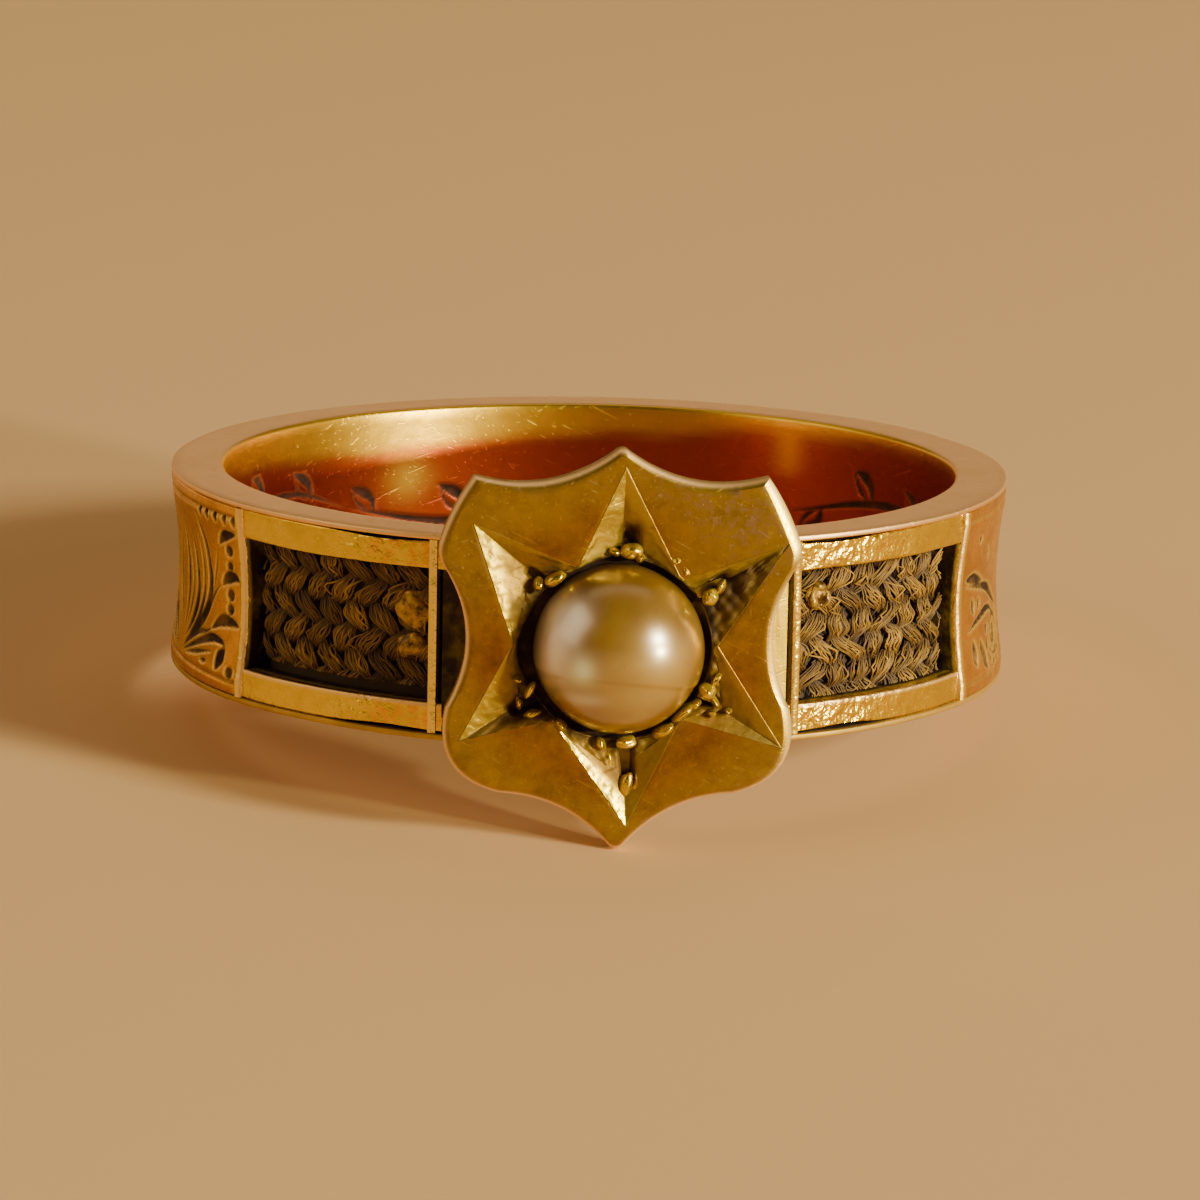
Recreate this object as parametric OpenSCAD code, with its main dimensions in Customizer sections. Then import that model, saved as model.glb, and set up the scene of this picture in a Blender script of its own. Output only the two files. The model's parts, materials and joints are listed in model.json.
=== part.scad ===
// Mourning ring: a flat band with two windows onto woven hair, and a shield plate in front
// with a half pearl set in a bright-cut star.
// The ring is worked out upright, its bore along Z and its shield towards -Y. Each piece is then
// tipped back by rest_tilt, so that the shield's lower tip and the back of the band touch one level
// surface. The origin is the middle of the finger bore.

/* [Band] */
// Radius of the finger bore
bore_r = 8.55; // [7.2:0.05:11]
// Height of the band from edge to edge
band_h = 4.6; // [3.6:0.1:7]
// Wall of the inner sleeve
liner_wall = 0.3; // [0.2:0.05:0.6]
// Thickness of the flange along each edge of the inner sleeve
flange_t = 0.13; // [0.1:0.01:0.25]
// Chamfer round each edge of the bore
bore_chamfer = 0.05; // [0.02:0.01:0.1]
// Gap between pieces that are fitted and not soldered
fit_gap = 0.04; // [0.02:0.01:0.06]

/* [Outer sleeve] */
// Thickness of the rails round the windows
rail_t = 0.4; // [0.3:0.05:0.7]
// Height of each rail
rail_h = 0.63; // [0.4:0.01:0.9]
// How far the flanges and the panels' plain borders stand proud of the rails
border_step = 0.06; // [0.02:0.01:0.15]
// Height of the plain border above and below each panel
border_h = 0.3; // [0.2:0.05:0.6]
// How deep the panels are waisted at mid height
waist = 0.17; // [0.05:0.01:0.3]

/* [Windows] */
// Direction of the end of each window nearest the shield, in degrees from the middle of the front
window_from = 25; // [24:0.5:32]
// Direction of the far end of each window
window_to = 57; // [46:0.5:76]
// Width of the upright bar at each end of a window
bar_w = 0.21; // [0.15:0.01:0.4]
// How far the upright bars stand proud
bar_step = 0.05; // [0.02:0.01:0.1]

/* [Hair] */
// Thickness of the woven ribbon
hair_t = 0.36; // [0.25:0.01:0.6]
// How far the ribbon's edges go under each rail
hair_tuck = 0.12; // [0.05:0.01:0.25]
// How far the ribbon stops short of the far end of its window
hair_short = 0.2; // [0.1:0.05:1.2]
// How far the ribbon runs on under the near bar
hair_under = 0.18; // [0.1:0.01:0.3]

/* [Shield] */
// Width of the shield plate
shield_w = 7.9; // [7:0.1:9]
// Height of the shield plate from tip to tip
shield_h = 8.86; // [8:0.1:11]
// Thickness of the shield plate
plate_t = 0.5; // [0.4:0.05:0.8]
// Width of the bevel round the plate's face
bevel = 0.12; // [0.05:0.01:0.2]
// Width of the pedestal where it leaves the band
pedestal_foot = 6.9; // [6:0.1:7]
// Width of the pedestal where it meets the plate
pedestal_top = 6; // [5:0.1:6]
// Height of the pedestal
pedestal_h = 3.9; // [2.5:0.1:4]
// Width of the groove between the pedestal and the near bars
groove_w = 0.12; // [0.08:0.01:0.3]
// Depth of that groove
groove_depth = 0.3; // [0.1:0.05:0.35]

/* [Star and pearl] */
// Diameter of the pearl
pearl_d = 3.75; // [3:0.05:3.9]
// How far the pearl stands out in front of the plate's face
pearl_proud = 1.68; // [1.5:0.02:1.8]
// Depth of the pearl's seat below the plate's face
seat_depth = 0.46; // [0.4:0.02:0.6]
// Clearance round the pearl in its seat
seat_gap = 0.15; // [0.08:0.01:0.2]
// Length of the star's arms from the middle of the pearl
star_r = 4.2; // [3.8:0.05:4.3]
// Distance of the star's notches from the middle of the pearl
notch_r = 2.12; // [2:0.02:2.3]
// Depth that the star's cuts would reach at the middle of the pearl
star_depth = 0.84; // [0.6:0.02:1]
// Radius of the grains that hold the pearl
grain_r = 0.24; // [0.18:0.01:0.3]

/* [Hidden] */
$fn = 144;

// What a cut runs past a face, and what a joined piece runs into its neighbour
over = 0.5;
root = 0.1;
lap = 0.03;

// Radii of the band, from the bore outwards
liner_r = bore_r + liner_wall;
sleeve_r = liner_r + fit_gap;
hair_r = sleeve_r + hair_t;
lip_r = hair_r + fit_gap;
rail_r = lip_r + rail_t;
border_r = rail_r + border_step;
core_r = border_r - waist - lap;

// Heights of the band
sleeve_h = band_h - 2 * (flange_t + fit_gap);
core_h = sleeve_h - 4 * lap;
bars_h = sleeve_h - 2 * lap;
window_h = sleeve_h - 2 * rail_h;
hair_h = window_h + 2 * hair_tuck;

// Places of the shield plate's two faces, in front of the bore's axis
plate_back = border_r + fit_gap;
plate_face = plate_back + plate_t;
half_w = shield_w / 2;
half_h = shield_h / 2;

// Places of the pearl and its seat, in depth below the plate's face
pearl_r = pearl_d / 2;
pearl_deep = pearl_r - pearl_proud;
seat_r = pearl_r + seat_gap;

// Width of a grain's stem as a share of the grain's
stem_share = 0.8;

// The tilt at which the shield's lower tip and the back of the band stand on one level surface
rest_tilt = max(0, atan((half_h - band_h / 2) / (border_r + plate_back)));

// The shield's right-hand outline from the upper tip to the lower one. Columns: the point's place
// across as a share of half the width, its height as a share of half the height, and how far the
// stretch to the next point bulges outwards, as a share of half the height
SHIELD = [
    [0, 1, 0.004],
    [0.035, 0.987, -0.085],
    [0.81, 0.862, 0.015],
    [0.995, 0.53, 0.012],
    [0.972, 0.418, -0.104],
    [0.952, -0.293, 0.12],
    [0.658, -0.718, -0.065],
    [0.035, -0.987, 0.004],
    [0, -1, 0]
];

// Length of the straight steps that a bow is drawn with
bow_step = 0.3;

// The star is cut by hand, so its arms differ a little. Columns: direction in degrees from the
// right, and length as a share of star_r
ARMS = [[33, 1.04], [89, 0.965], [139, 1.02], [210, 0.96], [273, 0.94], [329, 1]];
// The notches between the arms. Columns: direction, and distance as a share of notch_r
NOTCHES = [[3, 1.01], [50, 0.97], [117, 0.97], [176, 1.1], [227, 1], [312, 0.96]];

// The grains round the pearl. Columns: direction, and radius as a share of grain_r
GRAINS = [[29, 1], [84, 1], [132, 0.75], [150, 1.1], [208, 1], [275, 1.05], [309, 0.7], [333, 1.1]];

// The arc, in degrees round the bore's axis, of a length along a circle of radius r
function degrees_of(length, r) = length / r * 180 / PI;

bar_deg = degrees_of(bar_w, rail_r);
groove_deg = degrees_of(groove_w, rail_r);
lap_deg = degrees_of(lap, rail_r);

// Points from p to q, without q, along a bow that stands out to the left of the way by sag
function bow(p, q, sag) =
    let(chord = q - p, out = [-chord[1], chord[0]] / norm(chord),
        steps = max(2, round(norm(chord) / bow_step)))
    [for (i = [0 : steps - 1]) let(t = i / steps) p + chord * t + out * (4 * sag * t * (1 - t))];

function shield_point(row) = [row[0] * half_w, row[1] * half_h];

right_side = [for (i = [0 : len(SHIELD) - 2])
    each bow(shield_point(SHIELD[i]), shield_point(SHIELD[i + 1]), SHIELD[i][2] * half_h)];
left_side = [for (i = [len(right_side) - 1 : -1 : 1]) [-right_side[i][0], right_side[i][1]]];
lower_tip = [[0, -half_h]];

function star_corner(row, r) = row[1] * r * [cos(row[0]), sin(row[0])];

star_outline = [for (i = [0 : len(ARMS) - 1])
    each [star_corner(NOTCHES[i], notch_r), star_corner(ARMS[i], star_r)]];

module at_rest() {
    rotate([-rest_tilt, 0, 0]) children();
}

// Turns a profile drawn in the plane of radius and height, between two directions that are
// measured from the middle of the front towards +X
module sector(from, to) {
    rotate([0, 0, from - 90]) rotate_extrude(angle = to - from) children();
}

module both_sides() {
    children();
    mirror([1, 0, 0]) children();
}

// Stands its children, drawn flat, against the front of the ring. Depth counts from the plate's face
module on_face(depth = 0) {
    translate([0, depth - plate_face, 0]) rotate([90, 0, 0]) children();
}

module ring_profile(r_from, r_to, h) {
    translate([r_from, -h / 2]) square([r_to - r_from, h]);
}

// The wall of a panel, waisted between its two plain borders
module panel_profile(r_from, proud, h) {
    chord = sleeve_h - 2 * border_h;
    waist_r = (chord * chord / 4 + waist * waist) / (2 * waist);
    difference() {
        ring_profile(r_from, border_r + proud, h);
        translate([border_r + proud + waist_r - waist, 0]) circle(r = waist_r);
    }
}

module shield_outline() {
    polygon(concat(right_side, lower_tip, left_side));
}

module plate() {
    straight = plate_t - bevel;
    on_face(plate_t) {
        linear_extrude(height = straight) shield_outline();
        translate([0, 0, straight])
            linear_extrude(height = bevel, scale = [1 - bevel / half_w, 1 - bevel / half_h], slices = 1)
                shield_outline();
    }
}

// An upside-down star pyramid, whose sloping sides are the two facets of each arm
module star_cut() {
    lift = root;
    spread = 1 + lift / star_depth;
    corners = len(star_outline);
    on_face()
        polyhedron(
            points = concat([for (p = star_outline) [p[0] * spread, p[1] * spread, lift]],
                [[0, 0, lift], [0, 0, -star_depth]]),
            faces = concat([for (i = [0 : corners - 1]) [(i + 1) % corners, i, corners]],
                [for (i = [0 : corners - 1]) [i, (i + 1) % corners, corners + 1]]));
}

module pearl_seat() {
    on_face(seat_depth) cylinder(r = seat_r, h = seat_depth + over);
}

// The metal under the pearl, up to the floor of its seat
module pearl_bed() {
    on_face(plate_face - rail_r + root)
        cylinder(r = seat_r, h = plate_face - rail_r + root - seat_depth);
}

module pedestal() {
    difference() {
        linear_extrude(height = pedestal_h, center = true)
            polygon([[-pedestal_foot / 2, -liner_r * cos(window_from)],
                [pedestal_foot / 2, -liner_r * cos(window_from)],
                [pedestal_foot / 2, -rail_r * cos(window_from)],
                [pedestal_top / 2, -plate_back - root],
                [-pedestal_top / 2, -plate_back - root],
                [-pedestal_foot / 2, -rail_r * cos(window_from)]]);
        cylinder(r = lip_r, h = pedestal_h + over, center = true);
    }
}

// The beads that hold the pearl, each on a stem that rises from the floor of the seat
module grains() {
    rise = seat_depth - pearl_deep;
    for (row = GRAINS) {
        r = grain_r * row[1];
        reach = pearl_r + fit_gap + r;
        on_face(seat_depth)
            translate([reach * cos(row[0]), reach * sin(row[0]), 0]) {
                cylinder(r = r * stem_share, h = rise, $fn = 24);
                translate([0, 0, rise]) sphere(r = r, $fn = 24);
            }
    }
}

// The sleeve before its windows are cut: a plain core, and on it the rails, the panels and the
// upright bars. They are sunk into the core by different depths, lap a little and end at different
// heights, so that none of their faces lie on each other
module sleeve() {
    rotate_extrude() ring_profile(sleeve_r, core_r, core_h);
    sector(lap_deg - window_to, window_to - lap_deg) ring_profile(core_r - root, rail_r, sleeve_h);
    sector(window_to + bar_deg / 2, 360 - window_to - bar_deg / 2)
        panel_profile(core_r - 1.5 * root, 0, sleeve_h);
    both_sides() {
        sector(window_to - 2 * lap_deg, window_to + bar_deg)
            panel_profile(core_r - 2 * root, bar_step, bars_h);
        sector(window_from - bar_deg - groove_deg / 2, window_from + lap_deg)
            ring_profile(core_r - 2 * root, rail_r + bar_step, bars_h);
    }
}

module shield() {
    difference() {
        union() {
            pedestal();
            plate();
        }
        star_cut();
        pearl_seat();
    }
    pearl_bed();
    grains();
}

module window_cut() {
    sector(window_from, window_to) ring_profile(bore_r, border_r + over, window_h);
}

// The stretch round the band that the ribbon takes up, with a gap at each end
module hair_sector(gap) {
    sector(window_from - degrees_of(hair_under + gap, sleeve_r),
        window_to - degrees_of(hair_short - gap, sleeve_r)) children();
}

module hair_pocket() {
    hair_sector(fit_gap) ring_profile(liner_r, lip_r, hair_h + 2 * fit_gap);
}

module groove_cut() {
    sector(window_from - bar_deg - groove_deg, window_from - bar_deg)
        ring_profile(rail_r - groove_depth, border_r, sleeve_h + over);
}

module hair() {
    color("darkolivegreen")
        hair_sector(0) ring_profile(sleeve_r, hair_r, hair_h);
}

module liner() {
    color("rosybrown")
        rotate_extrude()
            polygon([[bore_r + bore_chamfer, -band_h / 2], [border_r, -band_h / 2],
                [border_r, -band_h / 2 + flange_t], [liner_r, -band_h / 2 + flange_t],
                [liner_r, band_h / 2 - flange_t], [border_r, band_h / 2 - flange_t],
                [border_r, band_h / 2], [bore_r + bore_chamfer, band_h / 2],
                [bore_r, band_h / 2 - bore_chamfer], [bore_r, -band_h / 2 + bore_chamfer]]);
}

module outer_band() {
    color("goldenrod")
        difference() {
            union() {
                sleeve();
                shield();
            }
            both_sides() {
                window_cut();
                hair_pocket();
                groove_cut();
            }
        }
}

module pearl() {
    color("antiquewhite")
        on_face(pearl_deep)
            difference() {
                sphere(r = pearl_r);
                translate([-pearl_d, -pearl_d, -2 * pearl_d - (seat_depth - fit_gap - pearl_deep)])
                    cube(2 * pearl_d);
            }
}

at_rest() liner();
at_rest() outer_band();
at_rest() mirror([1, 0, 0]) hair();  // hair_left
at_rest() hair();  // hair_right
at_rest() pearl();
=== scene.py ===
"""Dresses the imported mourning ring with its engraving, woven hair, bright-cut star and pearl.

Every piece is worked out on the upright ring in millimetres, with the bore along Z and the shield
towards -Y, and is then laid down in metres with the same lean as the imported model.
"""

import json
import math

import bpy
import numpy as np
from bpy.props import FloatProperty, FloatVectorProperty, IntProperty, PointerProperty
from mathutils import Matrix, Vector


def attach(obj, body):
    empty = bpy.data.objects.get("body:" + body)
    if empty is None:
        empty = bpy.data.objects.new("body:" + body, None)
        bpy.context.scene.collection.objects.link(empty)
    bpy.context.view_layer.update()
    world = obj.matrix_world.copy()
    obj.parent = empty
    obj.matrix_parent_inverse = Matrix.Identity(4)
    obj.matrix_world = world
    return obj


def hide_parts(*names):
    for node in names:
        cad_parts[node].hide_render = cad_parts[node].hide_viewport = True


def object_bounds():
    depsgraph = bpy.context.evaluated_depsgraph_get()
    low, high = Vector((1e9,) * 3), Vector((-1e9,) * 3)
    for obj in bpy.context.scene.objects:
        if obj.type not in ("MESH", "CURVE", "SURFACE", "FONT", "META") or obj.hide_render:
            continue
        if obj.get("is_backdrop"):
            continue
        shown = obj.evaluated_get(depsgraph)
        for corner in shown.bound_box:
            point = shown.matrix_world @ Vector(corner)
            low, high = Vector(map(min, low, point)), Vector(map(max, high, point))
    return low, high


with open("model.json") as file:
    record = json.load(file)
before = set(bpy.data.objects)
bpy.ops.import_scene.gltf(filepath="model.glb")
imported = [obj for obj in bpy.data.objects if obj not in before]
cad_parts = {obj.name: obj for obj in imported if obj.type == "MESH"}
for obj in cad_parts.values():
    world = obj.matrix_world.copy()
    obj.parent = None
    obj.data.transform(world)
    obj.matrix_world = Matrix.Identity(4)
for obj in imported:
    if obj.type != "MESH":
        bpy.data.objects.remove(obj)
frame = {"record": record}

bl_info = {
    "name": "Mourning ring",
    "version": (1, 0, 0),
    "blender": (4, 5, 0),
    "location": "3D View > Sidebar > Ring",
    "description": "Makes the pieces of a mourning ring with woven hair and a pearl in a star",
    "category": "Add Mesh",
}

MM = 0.001
# How far the outer sleeve was burnished up to the flanges, which closes the seam to a hairline
SEAM = 0.032


# ---- Sizes and colours -------------------------------------------------------------------------

def linear(hex_colour):
    """The linear colour of an sRGB hex value."""
    parts = [int(hex_colour[i:i + 2], 16) / 255 for i in (1, 3, 5)]
    return [c / 12.92 if c <= 0.04045 else ((c + 0.055) / 1.055) ** 2.4 for c in parts]


def length(name, description, millimetres):
    """A length property, whose default is given in millimetres."""
    return FloatProperty(name=name, description=description, default=millimetres * MM, unit="LENGTH",
                         precision=6)


def colour(name, description, hex_colour):
    """A colour property, whose default is given as an sRGB hex value."""
    return FloatVectorProperty(name=name, description=description, subtype="COLOR", size=3,
                               min=0, max=1, default=linear(hex_colour))


class BandSizes(bpy.types.PropertyGroup):
    """Sizes of the two sleeves of the band"""
    bore: length("Bore radius", "Radius of the finger bore", 8.55)
    height: length("Height", "Height of the band from edge to edge", 4.6)
    liner_outer: length("Liner radius", "Outer radius of the inner sleeve's wall", 8.85)
    flange: length("Flange", "Thickness of the flange along each edge", 0.13)
    rail_outer: length("Rail radius", "Outer radius of the rails", 9.69)
    border_outer: length("Border radius", "Outer radius of the flanges and the panels' borders", 9.75)
    sleeve_inner: length("Sleeve radius", "Inner radius of the outer sleeve", 8.89)
    sleeve_height: length("Sleeve height", "Height of the outer sleeve between the flanges", 4.26)
    window_height: length("Window height", "Clear height of each window", 3.0)
    border: length("Border", "Height of the plain border above and below each panel", 0.3)
    waist: length("Waist", "How deep the panels are hollowed at mid height", 0.17)
    bar: length("Bar", "Width of the upright bar at each end of a window", 0.21)
    bar_step: length("Bar step", "How far the upright bars stand proud", 0.05)
    window_from: FloatProperty(name="Window start", subtype="ANGLE", default=math.radians(25),
                               description="Direction of a window's end nearest the shield")
    window_to: FloatProperty(name="Window end", subtype="ANGLE", default=math.radians(57),
                             description="Direction of a window's far end")
    cut_slope: FloatProperty(name="Cut slope", default=0.62,
                             description="Depth of an engraved cut over half its width")


class ShieldSizes(bpy.types.PropertyGroup):
    """Sizes of the shield plate and its star"""
    width: length("Width", "Width of the plate", 7.9)
    height: length("Height", "Height of the plate from tip to tip", 8.86)
    face: length("Face", "How far the plate's face stands in front of the bore's axis", 10.29)
    thickness: length("Thickness", "Thickness of the plate", 0.5)
    bevel: length("Bevel", "Width of the bevel on the plate's left side", 0.12)
    bevel_right: length("Right bevel", "Width of the bevel on the right, where it is filed wider", 0.24)
    star: length("Star", "Length of the star's arms", 4.2)
    notch: length("Notch", "Distance of the star's notches from the middle", 2.12)
    star_depth: length("Star depth", "Depth that the star's cuts would reach at the middle", 0.84)
    seat: length("Seat", "Depth of the pearl's seat", 0.46)
    seat_gap: length("Seat gap", "Clearance round the pearl in its seat", 0.15)
    pedestal_foot: length("Pedestal foot", "Width of the pedestal where it leaves the band", 6.9)
    pedestal_top: length("Pedestal top", "Width of the pedestal where it meets the plate", 6.0)
    pedestal_height: length("Pedestal height", "Height of the pedestal", 3.9)


class HairSizes(bpy.types.PropertyGroup):
    """Sizes of the woven hair"""
    radius: length("Radius", "Radius of the middle of the weave", 9.17)
    height: length("Height", "Height of the ribbon", 3.24)
    strand: length("Strand", "Distance between neighbouring strands along the ribbon", 0.72)
    row: length("Row", "Height of one crossing of two strands", 0.54)
    hair: length("Hair", "Radius of one hair", 0.022)
    hairs: IntProperty(name="Hairs", description="Hairs side by side in one strand", default=14, min=3)
    rise: length("Rise", "How far a strand rises and falls where it crosses another", 0.085)


class PearlSizes(bpy.types.PropertyGroup):
    """Sizes of the pearl"""
    radius: length("Radius", "Radius of the pearl", 1.875)
    deep: length("Depth", "How far its middle lies behind the plate's face", 0.195)
    flat: length("Flat", "Depth of its flat back behind the plate's face", 0.42)


class RingColours(bpy.types.PropertyGroup):
    """Colours of the ring and of the floor"""
    yellow_gold: colour("Yellow gold", "Polished outer sleeve and shield", "#F6CC44")
    rose_gold: colour("Rose gold", "Flanges of the inner sleeve", "#FFD08C")
    bore_gold: colour("Bore gold", "Gold at the top of the bore", "#EFC436")
    # The bore's deep copper red is painted shade over the lower part of the bore
    bore_shade: colour("Bore shade", "Deep copper red that the bore has darkened to", "#B6522C")
    rail_gold: colour("Rail gold", "Lighter gold of the rails, the bars and the claws", "#F4D22E")
    panel_gold: colour("Panel gold", "Warmer gold of the engraved panel", "#EDB038")
    # Old polish and dirt in the recesses, together with painted shade in corners, gaps and shaded sides
    grime: colour("Grime", "Old polish and dirt in the recesses", "#2A1607")
    # Dark hair is the painted shade of hair deep in the weave
    hair_dark: colour("Dark hair", "Hair in the depth of the weave", "#280E08")
    hair_light: colour("Light hair", "Hair where the light catches it", "#B48C34")
    pearl: colour("Pearl", "Body colour of the pearl", "#A47E28")
    floor: colour("Floor", "Plain pale floor", "#F0C68E")


# ---- Points, faces and meshes ------------------------------------------------------------------

def mm(value):
    """A length property in millimetres."""
    return value / MM


def lean():
    """The angle by which the ring rests away from upright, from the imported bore's axis."""
    axis = frame["record"]["mounts"][0]["axis"]
    return math.atan2(axis[1], axis[2])


def laid_down(points):
    """Points of the upright ring in millimetres, where they rest, in metres."""
    c, s = math.cos(lean()), math.sin(lean())
    p = np.asarray(points, float)
    x, y, z = p[..., 0], p[..., 1], p[..., 2]
    return np.stack([x, y * c + z * s, z * c - y * s], -1) * MM


def on_band(angle, radius, height):
    """Points at an angle from the middle of the front, a radius and a height."""
    angle, radius, height = np.broadcast_arrays(angle, radius, height)
    return np.stack([radius * np.sin(angle), -radius * np.cos(angle), height], -1)


def ripple(points, size, seed, waves=14):
    """Smooth unevenness between -1 and 1, with bumps of about the given size."""
    rng = np.random.default_rng(seed)
    p = np.asarray(points, float).reshape(-1, 3)
    total = np.zeros(len(p))
    for _ in range(waves):
        way = rng.normal(size=3)
        way *= 2 * math.pi / (size * rng.uniform(1.2, 3.2)) / np.linalg.norm(way)
        total += np.sin(p @ way + rng.uniform(0, 2 * math.pi))
    return (total / math.sqrt(waves) / 1.6).clip(-1, 1).reshape(np.shape(points)[:-1])


def grid_faces(rows, columns, rows_close=False, columns_close=False, start=0):
    """Quads over a grid of points that is stored row by row."""
    i = np.arange(rows if rows_close else rows - 1)
    j = np.arange(columns if columns_close else columns - 1)
    i, j = np.meshgrid(i, j, indexing="ij")
    k, m = (i + 1) % rows, (j + 1) % columns
    quads = np.stack([i * columns + j, k * columns + j, k * columns + m, i * columns + m], -1)
    return (quads.reshape(-1, 4) + start).tolist()


def end_fans(rows, columns, middles):
    """Triangles that close the first and the last row of a grid of points, each round a middle point.
    Middles is the number of the first row's middle point, and the last row's comes after it."""
    first, last = range(columns), range((rows - 1) * columns, rows * columns)
    out = []
    for loop, middle, way in ((first, middles, 1), (last, middles + 1, -1)):
        out += [[loop[k], loop[(k + 1) % columns], middle][::way] for k in range(columns)]
    return out


def with_ends(points, faces, rows, columns):
    """The points and faces of a grid that is closed at both ends by fans round the ends' middles."""
    ends = [points[:columns].mean(axis=0), points[(rows - 1) * columns:rows * columns].mean(axis=0)]
    return np.vstack([points, ends]), faces + end_fans(rows, columns, len(points))


def volume_sign(points, faces):
    """Above zero when the faces of a closed surface point outwards."""
    total = 0.0
    for size in (3, 4):
        f = np.array([face for face in faces if len(face) == size], int)
        for k in range(1, size - 1):
            if len(f):
                a, b, c = points[f[:, 0]], points[f[:, k]], points[f[:, k + 1]]
                total += np.einsum("ij,ij->i", a, np.cross(b, c)).sum()
    return total


def make_piece(name, points, faces, material, marks=None, sharp=38):
    """An object from points of the upright ring in millimetres. Marks are named numbers per point."""
    points = np.asarray(points, float).reshape(-1, 3)
    if volume_sign(points, faces) < 0:
        faces = [face[::-1] for face in faces]
    mesh = bpy.data.meshes.new(name)
    mesh.from_pydata(laid_down(points).tolist(), [], faces)
    for mark, values in (marks or {}).items():
        attribute = mesh.attributes.new(mark, "FLOAT", "POINT")
        attribute.data.foreach_set("value", np.asarray(values, np.float32).ravel())
    mesh.materials.append(material)
    mesh.shade_smooth()
    mesh.set_sharp_from_angle(angle=math.radians(sharp))
    piece = bpy.data.objects.new(name, mesh)
    bpy.context.scene.collection.objects.link(piece)
    return piece


def settle(piece, node):
    """Hangs a finished piece under the root and hides the imported part that it stands for."""
    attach(piece, "root")
    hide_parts(node)


def rounded(corners, steps=3):
    """A closed outline with its corners rounded. Each corner is (radius, height, rounding)."""
    out = []
    n = len(corners)
    for i, (r, z, size) in enumerate(corners):
        here = np.array([r, z])
        back = np.array(corners[i - 1][:2]) - here
        on = np.array(corners[(i + 1) % n][:2]) - here
        if size <= 0:
            out.append(here)
            continue
        a, b = here + back / np.linalg.norm(back) * size, here + on / np.linalg.norm(on) * size
        for t in np.linspace(0, 1, steps + 1):
            out.append(a * (1 - t) ** 2 + 2 * here * t * (1 - t) + b * t * t)
    return np.array(out)


def split_long(outline, step):
    """The closed outline with extra points on every side longer than step."""
    out = []
    for i, here in enumerate(outline):
        on = outline[(i + 1) % len(outline)]
        parts = max(1, math.ceil(np.linalg.norm(on - here) / step))
        out.extend(here + (on - here) * k / parts for k in range(parts))
    return np.array(out)


def swept(outline, angles, closed):
    """Points and faces of an outline of radius and height that is carried round the bore."""
    points = on_band(angles[:, None], outline[None, :, 0], outline[None, :, 1])
    rows, columns = points.shape[:2]
    faces = grid_faces(rows, columns, rows_close=closed, columns_close=True)
    points = points.reshape(-1, 3)
    return (points, faces) if closed else with_ends(points, faces, rows, columns)


# ---- Materials ---------------------------------------------------------------------------------

def add(tree, kind, links=(), **settings):
    """Adds a node with its settings and what goes into its sockets, which are named, numbered or in
    order: a value, a socket, or a node, which stands for its first output."""
    node = tree.nodes.new(kind)
    for key, value in settings.items():
        setattr(node, key, value)
    for socket, value in links.items() if isinstance(links, dict) else enumerate(links):
        if isinstance(value, bpy.types.Node):
            value = value.outputs[0]
        if isinstance(value, bpy.types.NodeSocket):
            tree.links.new(value, node.inputs[socket])
        else:
            node.inputs[socket].default_value = value
    return node


def new_material(name):
    """An empty material and its node tree."""
    material = bpy.data.materials.new(name)
    material.use_nodes = True
    tree = material.node_tree
    tree.nodes.clear()
    return material, tree


def kept(name, make):
    """The material of that name, made the first time it is asked for."""
    return bpy.data.materials.get(name) or make(name)


def noise_scale(size):
    """The scale of a noise whose features are about the given size in millimetres."""
    return 0.6 / (size * MM)


def hairlines(tree, place):
    """Short fine scratches that run in three directions."""
    found = 0.0
    for turn, shift in (((1.1, 0.5, 0.2), 0.0), ((-0.9, 0.8, 1.9), 0.07), ((0.25, 1.35, 0.7), 0.03)):
        stretched = add(tree, "ShaderNodeMapping", {
            "Vector": place, "Location": (shift, shift, 0), "Rotation": turn, "Scale": (1, 1, 18)},
            vector_type="TEXTURE")
        noise = add(tree, "ShaderNodeTexNoise", {
            "Vector": stretched, "Scale": noise_scale(0.06), "Detail": 1.0, "Roughness": 0.5})
        line = add(tree, "ShaderNodeMapRange", (noise, 0.68, 0.74))
        found = add(tree, "ShaderNodeMath", (found, line), operation="MAXIMUM")
    return found


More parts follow.
